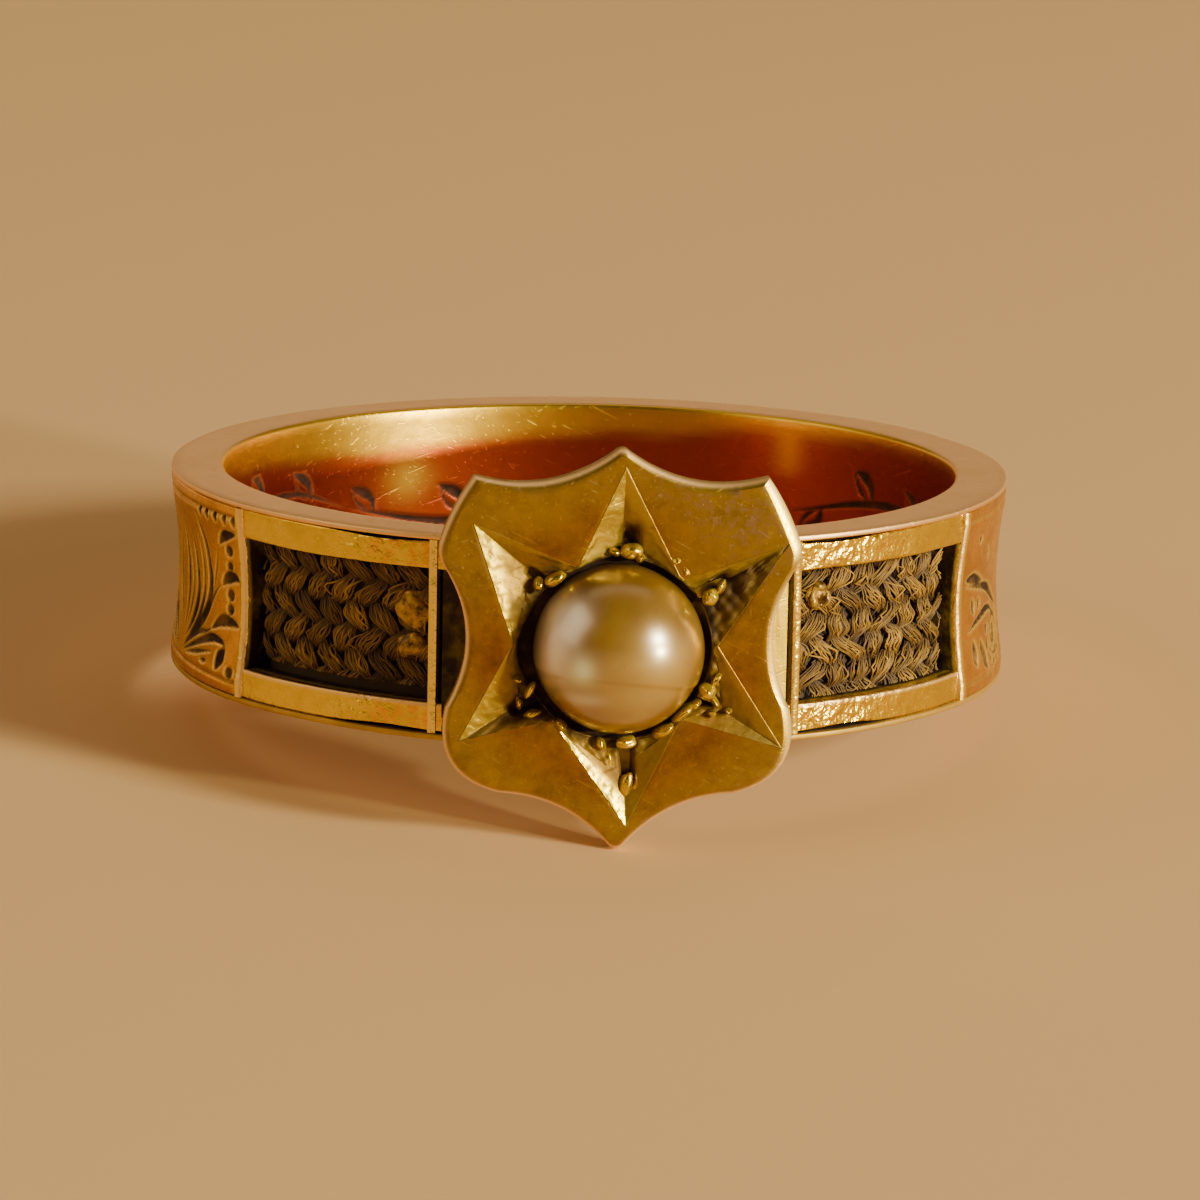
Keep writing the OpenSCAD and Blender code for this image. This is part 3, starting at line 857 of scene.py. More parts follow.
class RING_OT_rails(bpy.types.Operator):
    """Makes the rails above and below the windows, and the upright bars at the windows' ends"""
    bl_idname = "ring.rails"
    bl_label = "Rails and bars"

    def execute(self, context):
        band = context.scene.ring_band
        inner, out = mm(band.sleeve_inner), mm(band.rail_outer)
        half = mm(band.sleeve_height) / 2 + SEAM
        low = mm(band.window_height) / 2
        parts, turns, rims = [], [], []
        for side in (1, -1):
            outline = split_long(rounded([(inner, low, 0), (out, low, 0.045), (out, half, 0.05),
                                          (inner, half, 0)]), 0.08)
            angles = np.linspace(-band.window_to, band.window_to, 330)
            points, faces = swept(outline * [1, side], angles, closed=False)
            turn = np.arctan2(points[:, 0], -points[:, 1])
            # Wear has drawn the rail's edge away from the flange beside the shield
            near = np.exp(-((np.abs(turn) - math.radians(31)) / math.radians(7.5)) ** 2)
            edge = ((np.abs(points[:, 2]) - half + 0.12) / 0.12).clip(0, 1)
            points[:, 2] -= side * edge * near * (0.085 + 0.03 * ripple(points, 1.5, 21))
            points[:, 2] += side * 0.01 * ripple(points, 1.2, 23) * (1 - edge)
            far = np.hypot(points[:, 0], points[:, 1])
            swell = 1 + (0.012 * ripple(points, 0.9, 25) + 0.006 * ripple(points, 0.3, 27)) / out
            points[:, :2] *= np.where(far > out - 0.2, swell, 1)[:, None]
            # Painted shade darkens each rail towards the inside of the sleeve
            parts.append((points, faces, ((out - 0.16 - far) / 0.2).clip(0, 1)))
            turns.append(turn)
        width = mm(band.bar) / out
        step, waist, chord = mm(band.bar_step), mm(band.waist), half - mm(band.border)
        for side in (1, -1):
            # Where each bar starts, how far it reaches out, how deep it is waisted, and how far its
            # crown falls away at each place across
            for start, reach, hollow, crown in (
                    (band.window_to, mm(band.border_outer) + step, waist,
                     (-0.1, -0.055, -0.03, -0.005, 0, -0.01, -0.04)),
                    (band.window_from - width, out + step, 0,
                     (-0.05, -0.02, -0.004, 0, -0.004, -0.02, -0.05))):
                heights = np.linspace(-half, half, 70)
                radius = (reach - hollow * (1 - (heights / chord) ** 2).clip(0))[:, None]

                def strip(places, far):
                    """Points up the bar at places across it, as shares of its width."""
                    return on_band(side * (start + np.array([places]) * width), far, heights[:, None])

                top = strip((0, 0.06, 0.22, 0.5, 0.78, 0.94, 1), radius + np.array([crown]))
                top = top + 0.01 * ripple(top, 0.7, 31)[..., None] * top / out
                grid = np.concatenate([top, strip((1,), radius - 0.22), strip((1, 0), inner + 0.1),
                                       strip((0,), radius - 0.22)], axis=1)
                rows, columns = grid.shape[:2]
                faces = grid_faces(rows, columns, columns_close=True)
                for loop in (range(columns), range(rows * columns - 1, (rows - 1) * columns - 1, -1)):
                    faces += [[loop[0], loop[k], loop[k + 1]] for k in range(1, columns - 1)]
                # Painted shade darkens the inner part of each bar and the far bars' walls towards the
                # windows
                deep, rim = np.zeros((rows, columns)), np.zeros((rows, columns))
                deep[:, -4:] = 1
                if start == band.window_to:
                    rim[:, 1:3] = (0.8, 1)
                    deep[:, 5:7] = (0.5, 0.9)
                rims.append(rim.ravel())
                parts.append((grid.reshape(-1, 3), faces, deep.ravel()))
        points, faces, grime = joined(parts)
        turns, rims = np.degrees(np.concatenate(turns)), np.concatenate(rims)
        worn = np.full(len(points), 0.35)
        worn[:len(turns)] = np.where(turns > 0, np.clip((50 - turns) / 16, 0.15, 1),
                                     0.15 + 0.6 * np.exp(-((turns + 36) / 5) ** 2))
        # The block beside the shield on the left and patches of the creased metal are orange
        speckled = np.zeros(len(points))
        speckled[:len(turns)] = np.where(turns > 0, np.clip((46 - turns) / 16, 0, 0.45),
                                         np.clip((turns + 36) / 4, 0.1, 0.9))
        bright = np.zeros(len(points))
        bright[len(turns):] = 0.8
        # The edges towards the window are painted pale as a highlight: the lower rail's, and the far bars'
        far = np.hypot(points[:, 0], points[:, 1])
        edge = np.zeros(len(points))
        rail = np.arange(len(points)) < len(turns)
        edge[rail & (far > out - 0.05) & (np.abs(points[:, 2] + low) < 0.05)] = 0.8
        edge[~rail] = rims
        piece = make_piece("rails_and_bars", points, faces, rail_gold(), {
            "grime": grime, "worn": worn, "bright": bright, "edge": edge, "speckled": speckled})
        settle(piece, "outer_band")
        return {"FINISHED"}


class RING_OT_pedestal(bpy.types.Operator):
    """Makes the filed block behind the shield, and the stretch of sleeve that carries it"""
    bl_idname = "ring.pedestal"
    bl_label = "Pedestal"

    def execute(self, context):
        band, shield = context.scene.ring_band, context.scene.ring_shield
        inner, out, half = mm(band.sleeve_inner), mm(band.rail_outer), mm(band.sleeve_height) / 2
        groove = 0.12
        reach = band.window_from - (mm(band.bar) + groove) / out
        outline = split_long(rounded([(inner, -half, 0), (out, -half, 0.05), (out, half, 0.05),
                                      (inner, half, 0)]), 0.2)
        stretch, stretch_faces = swept(outline, np.linspace(-reach, reach, 80), closed=False)
        # The left part of the stretch of sleeve is painted dark as shade
        sleeve = (stretch, stretch_faces, np.where(stretch[:, 0] < -2, 0.95, 0.1))
        rise = mm(shield.pedestal_height) / 2
        foot, top = mm(shield.pedestal_foot) / 2, mm(shield.pedestal_top) / 2
        back, mid = -mm(band.liner_outer), -out * math.cos(band.window_from)
        front = -(mm(shield.face) - mm(shield.thickness)) - 0.02
        flank = ((foot + top) / 2, (mid + front) / 2 + 0.05)
        plan = np.array([[-foot, back], [foot, back], [foot, mid], flank, [top, front], [-top, front],
                         [-flank[0], flank[1]], [-foot, mid]])
        heights = np.concatenate([[-rise], np.linspace(-rise + 0.03, rise - 0.03, 30), [rise]])
        shrink = np.where(np.abs(heights) >= rise, 0.985, 1)
        fine = split_long(plan, 0.3)
        points = np.stack([np.concatenate([fine * [k, 1], np.full((len(fine), 1), z)], axis=1)
                           for z, k in zip(heights, shrink)])
        rows, columns = points.shape[:2]
        points, faces = with_ends(points.reshape(-1, 3), grid_faces(rows, columns, columns_close=True),
                                  rows, columns)
        points[:, 0] += 0.01 * ripple(points, 0.6, 41)
        # The pedestal's left side is painted dark as shade, darkest near the band
        left = (points[:, 0] < 0) * ((out + 1.2 + points[:, 1]) / 0.9).clip(0.2, 0.9)
        all_points, all_faces, grime = joined([sleeve, (points, faces, np.maximum(0.1, left))])
        piece = make_piece("pedestal", all_points, all_faces, filed_gold(), {"grime": grime}, sharp=30)
        settle(piece, "outer_band")
        return {"FINISHED"}


# ---- The shield --------------------------------------------------------------------------------

# The shield's right-hand outline, from the upper tip to the lower one: place across as a share of
# half the width, place up as a share of half the height, and how far the stretch to the next point
# bows outwards as a share of half the height
OUTLINE = [(0, 1, 0.004), (0.035, 0.987, -0.085), (0.81, 0.862, 0.015), (0.995, 0.53, 0.012),
           (0.972, 0.418, -0.104), (0.952, -0.293, 0.12), (0.658, -0.718, -0.065), (0.035, -0.987, 0.004),
           (0, -1, 0)]
# The star's arms and the notches between them: direction in degrees from the right, and length as
# a share of the star's or the notches' size
ARMS = [(33, 1.04), (89, 0.965), (139, 1.02), (210, 0.96), (273, 0.94), (329, 1.0)]
NOTCHES = [(3, 1.01), (50, 0.97), (117, 0.97), (176, 1.1), (227, 1.0), (312, 0.96)]
# How brightly each facet is painted, as highlight and shade, near the pearl and at its outer edge,
# from the one between the first notch and the first arm, anticlockwise
FACETS = [(0, 0.1), (0.5, 0.4), (0.3, 0.6), (0.4, 0.5), (0.3, 0.5), (0.25, 0.5), (0.3, 0.6), (0.02, 0.1),
          (0.15, 0.85), (0.2, 0.3), (0.2, 0.2), (0.2, 0.4)]
# The ragged pits that the graver left where the star's arms meet the pearl: direction, where each
# one ends, half its width and its depth
PITS = [(85, 2.7, 0.2, 0.2), (139, 2.6, 0.1, 0.26), (35, 2.85, 0.13, 0.22), (331, 2.45, 0.13, 0.16),
        (212, 2.75, 0.16, 0.24), (275, 3.0, 0.14, 0.32)]
# The claws, curls and beads of metal round the pearl: place across and up, length, width, direction
# of the length and how far each one stands in front of the plate's face
CLAWS = [(0.24, 2.19, 0.24, 0.17, 15, 0.02), (0.42, 2.05, 0.12, 0.09, 60, 0.08),
         (-0.12, 2.15, 0.1, 0.14, 70, -0.08), (-1.42, 1.58, 0.28, 0.15, 36, 0.12),
         (-1.78, 1.44, 0.17, 0.12, 80, 0.0), (1.97, 1.19, 0.2, 0.17, 30, 0.12),
         (2.2, 1.38, 0.2, 0.09, 65, -0.04), (1.2, 2.0, 0.12, 0.1, 0, 0.1),
         (1.42, 1.75, 0.15, 0.1, 120, 0.06), (1.93, -0.9, 0.19, 0.18, 0, 0.16),
         (2.14, -0.66, 0.2, 0.08, 60, 0.0), (2.1, -1.12, 0.18, 0.08, 120, 0.0),
         (1.69, -1.2, 0.16, 0.1, 40, 0.05), (2.06, -1.4, 0.1, 0.08, 0, 0.04),
         (2.42, -1.36, 0.08, 0.07, 0, 0.0), (1.4, -1.36, 0.28, 0.1, 42, 0.3),
         (1.02, -1.78, 0.3, 0.12, 28, 0.1), (0.2, -2.07, 0.22, 0.14, 10, 0.04),
         (-0.36, -2.1, 0.15, 0.11, 120, 0.0), (-0.16, -2.5, 0.22, 0.09, 100, -0.16),
         (0.22, -3.04, 0.3, 0.17, 78, -0.06), (-1.93, -0.9, 0.2, 0.09, 60, 0.08),
         (-1.86, -1.42, 0.2, 0.09, 15, 0.04), (-2.16, -1.2, 0.16, 0.08, 95, -0.06),
         (-2.18, -0.66, 0.1, 0.08, 0, 0.08), (-1.26, -1.66, 0.16, 0.12, 130, 0.1)]


def shield_outline(width, height):
    """The plate's outline as points, anticlockwise from the right."""
    half_w, half_h = width / 2, height / 2
    right = []
    for (x0, z0, bow), (x1, z1, _) in zip(OUTLINE, OUTLINE[1:]):
        a, b = np.array([x0 * half_w, z0 * half_h]), np.array([x1 * half_w, z1 * half_h])
        chord = b - a
        out = np.array([-chord[1], chord[0]]) / np.linalg.norm(chord)
        for t in np.linspace(0, 1, 24, endpoint=False):
            right.append(a + chord * t + out * 4 * bow * half_h * t * (1 - t))
    right = np.array(right + [[0, -half_h]])
    left = right[1:-1][::-1] * [-1, 1]
    loop = np.vstack([right, left])
    order = np.argsort(np.arctan2(loop[:, 1], loop[:, 0]))
    return loop[order]


def reach_of(loop, directions):
    """How far a star-shaped outline reaches from the middle in each direction."""
    angle = np.arctan2(loop[:, 1], loop[:, 0])
    order = np.argsort(angle)
    loop, angle = loop[order], angle[order]
    out = np.empty(len(directions))
    index = np.searchsorted(angle, directions) % len(loop)
    for k, (d, i) in enumerate(zip(directions, index)):
        p, q = loop[i - 1], loop[i]
        way = np.array([math.cos(d), math.sin(d)])
        side = q - p
        out[k] = (p[0] * side[1] - p[1] * side[0]) / (way[0] * side[1] - way[1] * side[0])
    return out


class RING_OT_shield(bpy.types.Operator):
    """Makes the shield plate, with its bevel, its bright-cut star and the seat of the pearl"""
    bl_idname = "ring.shield"
    bl_label = "Shield"

    def execute(self, context):
        shield, pearl = context.scene.ring_shield, context.scene.ring_pearl
        face = mm(shield.face)
        seat = mm(pearl.radius) + mm(shield.seat_gap)
        floor, thick = mm(shield.seat), mm(shield.thickness)
        corners = []
        for (notch_way, notch_len), (arm_way, arm_len) in zip(NOTCHES, ARMS):
            for way, size in ((notch_way, notch_len * mm(shield.notch)),
                              (arm_way, arm_len * mm(shield.star))):
                corners.append((math.cos(math.radians(way)) * size, math.sin(math.radians(way)) * size))
        star = np.array(corners)
        loop = shield_outline(mm(shield.width), mm(shield.height))
        ways = np.linspace(-math.pi, math.pi, 1260, endpoint=False)
        tips = np.arctan2(star[:, 1], star[:, 0])
        for tip in tips:
            ways[np.argmin(np.abs(ways - tip))] = tip
        ways = np.sort(ways)
        # The seat is opened wider on the left
        seat = seat + 0.2 * np.exp(-((np.abs(ways) - math.pi) / 0.42) ** 2)
        r_star = np.maximum(reach_of(star, ways), seat + 0.07)
        r_out = reach_of(loop, ways)
        # The bevel is filed widest at the upper right, and less so at the lower right
        filed = np.exp(-((ways - 0.66) / 0.25) ** 2) + 0.7 * np.exp(-((ways + 0.36) / 0.22) ** 2)
        bevel = mm(shield.bevel) + (mm(shield.bevel_right) - mm(shield.bevel)) * filed
        r_face = r_out - bevel / np.cos(0.35)
        depth_mid = mm(shield.star_depth)
        stations = []

        def ring_at(radius, depth, dirt, bright=0.0, worn=0.0, edge=0.0):
            """Adds the next loop of points round the plate, with its marks."""
            stations.append([np.broadcast_to(value, ways.shape)
                             for value in (radius, depth, dirt, bright, worn, edge)])

        # How brightly each facet of the star is painted as highlight and shade, near the pearl and at its
        # outer edge. It changes within half a degree of each corner of the star
        turns = [way + step for pair in zip(NOTCHES, ARMS) for way, _ in pair for step in (0, 0.5)]
        glow = [np.interp(np.degrees(ways) % 360, turns, np.repeat(values, 2)[[-1, *range(23)]], period=360)
                for values in zip(*FACETS)]

        def facet(radius):
            """The depth of the star's facets at a radius."""
            return depth_mid * (1 - radius / r_star)

        # The pearl's seat is painted dark as dirt and painted shade
        ring_at(0.5, floor, 1)
        ring_at(1.4, floor, 1)
        ring_at(seat - 0.06, floor, 1)
        ring_at(seat - 0.01, floor - 0.03, 1)
        rim = facet(seat + 0.03)
        ring_at(seat, floor * 0.5 + rim * 0.5, 0.9)
        ring_at(seat + 0.004, rim + 0.025, 0.8)
        ring_at(seat + 0.03, rim, 0.6)
        for t in [*np.linspace(0.02, 0.5, 18), 0.55, 0.61, 0.68, 0.76, 0.84, 0.91, 0.96, 0.985]:
            radius = seat + 0.03 + (r_star - seat - 0.03) * t
            pit, hollow = np.zeros(len(ways)), np.zeros(len(ways))
            for way, stop, wide, deep in PITS:
                off = ways - math.radians(way if way < 180 else way - 360)
                along, across = radius * np.cos(off), radius * np.sin(off)
                shape = (np.exp(-(across / wide) ** 4) / (1 + np.exp((along - stop) / 0.04))
                         * (np.cos(off) > 0))
                pit, hollow = np.maximum(pit, shape), np.maximum(hollow, deep * shape)
            # Each facet's bright tint is a painted highlight and its dullness painted shade, darker towards
            # the pearl and dark in the pits
            shine = glow[0] + (glow[1] - glow[0]) / (1 + np.exp((0.7 - t) / 0.05))
            dull = 0.5 * (1 - t) ** 4 + 0.75 * (1 - shine) ** 3
            ring_at(radius, facet(radius) + hollow, np.maximum(dull, pit), shine * (1 - pit),
                    np.clip(0.25 + 1.5 * shine, 0, 1))
        ring_at(r_star - 0.006, 0.004, 0.35, 0, 0.2)
        ring_at(r_star + 0.012, 0.0, 0)
        for t in (0.15, 0.35, 0.55, 0.75, 0.92):
            ring_at(r_star + 0.012 + (r_face - r_star - 0.03) * t, 0.0, 0)
        ring_at(r_face - 0.012, 0.0, 0)
        # The bevel is painted pale as a highlight, and given the bright tint as a painted highlight where it
        # is filed wide
        pale = 1 - 0.7 * filed.clip(0, 1)
        ring_at(r_face, 0.004, 0, filed)
        ring_at(r_face + (r_out - r_face) * 0.35, 0.15 * bevel, 0.1 * pale, filed, 0, 0.15 * pale)
        ring_at(r_face + (r_out - r_face) * 0.7, 0.36 * bevel, 0, filed, 0, pale)
        ring_at(r_out - 0.01, 0.62 * bevel, 0, filed, 0, pale)
        ring_at(r_out, 0.62 * bevel + 0.03, 0, filed, 0, pale)
        # The plate's outer side and back are painted darker as shade
        ring_at(r_out, thick * 0.6, 0.1)
        ring_at(r_out, thick - 0.03, 0.2)
        ring_at(r_out - 0.03, thick, 0.3)
        ring_at(1.0, thick, 0.3)
        radius, depth, dirt, bright, worn, edge = (np.array(part) for part in zip(*stations))
        x, z = radius * np.cos(ways), radius * np.sin(ways)
        points = np.stack([x, depth - face, z], -1)
        lively = np.zeros(points.shape[:2])
        lively[4:-4] = 1
        points[..., 1] += lively * (0.006 * ripple(points, 1.4, 51) + 0.002 * ripple(points, 0.35, 53))
        points[..., 1] += 0.06 * (dirt > 0.5) * lively * (1 - (depth >= floor)) * ripple(points, 0.18, 55)
        rows, columns = points.shape[:2]
        flat = np.vstack([points.reshape(-1, 3), [[0, floor - face, 0], [0, thick - face, 0]]])
        faces = grid_faces(rows, columns, columns_close=True) + end_fans(rows, columns, rows * columns)
        grime = np.append(dirt, [0.5, 0.5])
        bright, worn, edge = (np.append(values, [0, 0]) for values in (bright, worn, edge))
        # Near the star the face is a warmer brown. Further out, most of all at the upper right, it is
        # speckled grey
        reach = np.hypot(flat[:, 0], flat[:, 2])
        warm = np.exp(-((reach - 2.7) / 0.7) ** 2) * (0.6 + 0.4 * ripple(flat, 1.5, 57))
        speckled = ((reach - 3.0) / 1.2).clip(0, 0.4) + 0.6 * np.exp(
            -((flat[:, 0] - 2.4) / 1.5) ** 2 - ((flat[:, 2] - 2.9) / 1.1) ** 2)
        piece = make_piece("shield_plate", flat, faces, satin_gold(), {
            "grime": grime, "bright": bright, "worn": worn, "edge": edge, "inside": warm.clip(0, 1),
            "speckled": speckled.clip(0, 1) * (flat[:, 1] < 0.1 - face)}, sharp=24)
        settle(piece, "outer_band")
        return {"FINISHED"}


def blob(centre, radii, axes, seed, rows=18, columns=26, lump=0.12):
    """A closed lumpy bead. Axes are its three directions as rows."""
    up = np.linspace(0, math.pi, rows + 2)[1:-1]
    turn = np.linspace(0, 2 * math.pi, columns, endpoint=False)
    unit = np.stack([np.sin(up)[:, None] * np.cos(turn), np.sin(up)[:, None] * np.sin(turn),
                     np.broadcast_to(np.cos(up)[:, None], (rows, columns))], -1)
    unit = np.vstack([unit.reshape(-1, 3), [[0, 0, 1], [0, 0, -1]]])
    unit = unit * (1 + lump * ripple(unit * 3 + seed, 2.2, seed))[:, None]
    points = centre + (unit * radii) @ np.asarray(axes)
    return points, grid_faces(rows, columns, columns_close=True) + end_fans(rows, columns, rows * columns)


class RING_OT_grains(bpy.types.Operator):
    """Makes the claws, curls and beads of metal that are raised round the pearl to hold it"""
    bl_idname = "ring.grains"
    bl_label = "Grains"

    def execute(self, context):
        shield = context.scene.ring_shield
        face = mm(shield.face)
        parts = []
        front = np.array([0, -1, 0])
        for k, (x, z, long, wide, turn, rise) in enumerate(CLAWS):
            a = math.radians(turn)
            way = np.array([math.cos(a), 0, math.sin(a)])
            side = np.array([-math.sin(a), 0, math.cos(a)])
            # Each one is rooted below the plate's face and has a rounded, dented top
            deep = 0.5 * (0.4 + rise)
            centre = np.array([x, deep - rise - face, z])
            points, faces = blob(centre, (long, wide, deep), (way, side, front), 60 + k, lump=0.16)
            # Painted shade darkens each claw away from its top, towards the plate
            lower = ((points[:, 1] - (0.02 - rise - face)) / 0.25).clip(0, 1)
            parts.append((points, faces, 0.03 + 0.9 * lower))
        points, faces, grime = joined(parts)
        piece = make_piece("grains", points, faces, rail_gold(), {
            "grime": grime, "worn": np.full(len(points), 0.3)})
        settle(piece, "outer_band")
        return {"FINISHED"}


class RING_OT_pearl(bpy.types.Operator):
    """Makes the pearl, very slightly lumpy, with its ring line, its cloudy overtones and patches of painted
    reflection and painted light
    """
    bl_idname = "ring.pearl"
    bl_label = "Pearl"

    def execute(self, context):
        pearl, shield = context.scene.ring_pearl, context.scene.ring_shield
        r, deep, flat = mm(pearl.radius), mm(pearl.deep), mm(pearl.flat)
        rows, columns = 110, 180
        last = math.acos(-(flat - deep) / r)
        up = np.linspace(0, last, rows + 1)[1:]
        turn = np.linspace(0, 2 * math.pi, columns, endpoint=False)
        unit = np.stack([np.sin(up)[:, None] * np.cos(turn),
                         np.broadcast_to(-np.cos(up)[:, None], (rows, columns)),
                         np.sin(up)[:, None] * np.sin(turn)], -1).reshape(-1, 3)
        x, z = unit[:, 0] * r, unit[:, 2] * r
        # Below the ring line, which sinks towards the right, the pearl is a little smaller
        line = z + 0.4 + 0.1 * x + 0.06 * x ** 2
        step = 1 / (1 + np.exp(line / 0.022))
        size = r * (1 - 0.02 * step - 0.004 + 0.006 * ripple(unit, 1.1, 71))
        points = unit * size[:, None]
        points[-columns:] = unit[-columns:] * r

        def patch(px, pz, wide, high, turn_deg=0):
            """A soft oval on the front of the pearl."""
            c, s = math.cos(math.radians(turn_deg)), math.sin(math.radians(turn_deg))
            u, v = (x - px) * c + (z - pz) * s, (z - pz) * c - (x - px) * s
            return np.exp(-(u / wide) ** 2 - (v / high) ** 2) * (unit[:, 1] < 0)

        # The green and lilac patches are overtones with painted reflection and painted light on the shaded
        # left; the pale ones are painted light
        marks = {
            "green": patch(-0.98, -0.16, 0.3, 0.34),
            "lilac": patch(-1.42, 0.3, 0.3, 0.8, -12) + 0.8 * patch(-1.15, 0.95, 0.42, 0.3, 40)
            + 0.5 * patch(-0.9, -0.85, 0.4, 0.16),
            "pale": patch(0.7, 0.2, 0.8, 0.6) + 0.7 * patch(0.3, -0.8, 1.0, 0.3),
        }
        face = mm(shield.face)
        points = np.vstack([points + [0, deep - face, 0], [[0, deep - face - r, 0], [0, flat - face, 0]]])
        faces = grid_faces(rows, columns, columns_close=True) + end_fans(rows, columns, rows * columns)
        marks = {name: np.append(np.clip(values, 0, 1), [0, 0]) for name, values in marks.items()}
        piece = make_piece("half_pearl", points, faces, kept("pearl nacre", pearl_material), marks, sharp=60)
        settle(piece, "pearl")
        return {"FINISHED"}


# ---- The hair ----------------------------------------------------------------------------------

# The arithmetic of the weave, one step a row: what is worked out, how, and from what
WEAVE = (
    # A hair's number gives its family, its strand in the family and its place in the strand
    ("family size", "MULTIPLY", "Hairs", "Strands"),
    ("count", "MULTIPLY", "family size", 2.0),
    ("new family", "ADD", "number", 0.5),
    ("new family", "DIVIDE", "new family", "family size"),
    ("new family", "FLOOR", "new family"),
    ("within", "MULTIPLY", "new family", "family size"),
    ("within", "SUBTRACT", "number", "within"),
    ("new strand", "ADD", "within", 0.5),
    ("new strand", "DIVIDE", "new strand", "Hairs"),
    ("new strand", "FLOOR", "new strand"),
    ("new place", "MULTIPLY", "new strand", "Hairs"),
    ("new place", "SUBTRACT", "within", "new place"),
    ("new place", "ADD", "new place", 0.5),
    ("new place", "DIVIDE", "new place", "Hairs"),
    ("new place", "SUBTRACT", "new place", 0.5),
    # The families slant opposite ways, and pass over and under each other row by row
    ("way", "MULTIPLY", "family", -2.0),
    ("way", "SUBTRACT", "way", -1.0),
    ("up", "SUBTRACT", "along", 0.5),
    ("up", "MULTIPLY", "up", "Height"),
    ("over", "MULTIPLY", "up", math.pi),
    ("over", "DIVIDE", "over", "Row"),
    ("over", "COSINE", "over"),
    ("over", "MULTIPLY", "over", "way"),
    ("two rows", "MULTIPLY", "Row", 2.0),
    ("slant", "MULTIPLY", "up", "Strand"),
    ("slant", "DIVIDE", "slant", "two rows"),
    ("slant", "MULTIPLY", "slant", "way"),
    # A strand is spread wide where it lies on top, and its middle stands out
    ("offset", "MULTIPLY", "over", 0.3),
    ("offset", "ADD", "offset", 0.56),
    ("offset", "MULTIPLY", "place", "offset"),
    ("offset", "MULTIPLY", "offset", "Strand"),
    ("arch", "MULTIPLY", "place", "place"),
    ("arch", "SUBTRACT", 0.25, "arch"),
    ("arch", "MULTIPLY", "arch", 1.3),
    ("arch", "MULTIPLY", "arch", "Rise"),
    # One hair in a few strays far from its strand
    ("stray", "POWER", "shade", 6.0),
    ("stray", "MULTIPLY", "stray", "Frizz"),
    ("sway", "MULTIPLY_ADD", "stray", 1.1, 0.2),
    ("sway", "MULTIPLY", "Strand", "sway"),
    ("aside", "SUBTRACT", "drift aside", 0.5),
    ("aside", "MULTIPLY", "aside", "sway"),
    ("lift", "MULTIPLY_ADD", "stray", 2.0, 1.1),
    ("lift", "MULTIPLY", "Rise", "lift"),
    ("aloft", "SUBTRACT", "drift aloft", 0.5),
    ("aloft", "MULTIPLY", "aloft", "lift"),
    # Where that puts the hair across the ribbon and in front of its middle
    ("across", "DIVIDE", "Strands", 2.0),
    ("across", "SUBTRACT", "strand", "across"),
    ("across", "MULTIPLY", "across", "Strand"),
    ("across", "ADD", "across", "offset"),
    ("across", "ADD", "across", "slant"),
    ("across", "ADD", "across", "aside"),
    ("front", "MULTIPLY", "over", "Rise"),
    ("front", "ADD", "front", "arch"),
    ("front", "ADD", "front", "aloft"),
    ("front", "MULTIPLY", "front", -1.0),
    # Hairs are cut off at the ends of the ribbon
    ("end", "DIVIDE", "Length", 2.0),
    ("from middle", "ABSOLUTE", "place across"),
)


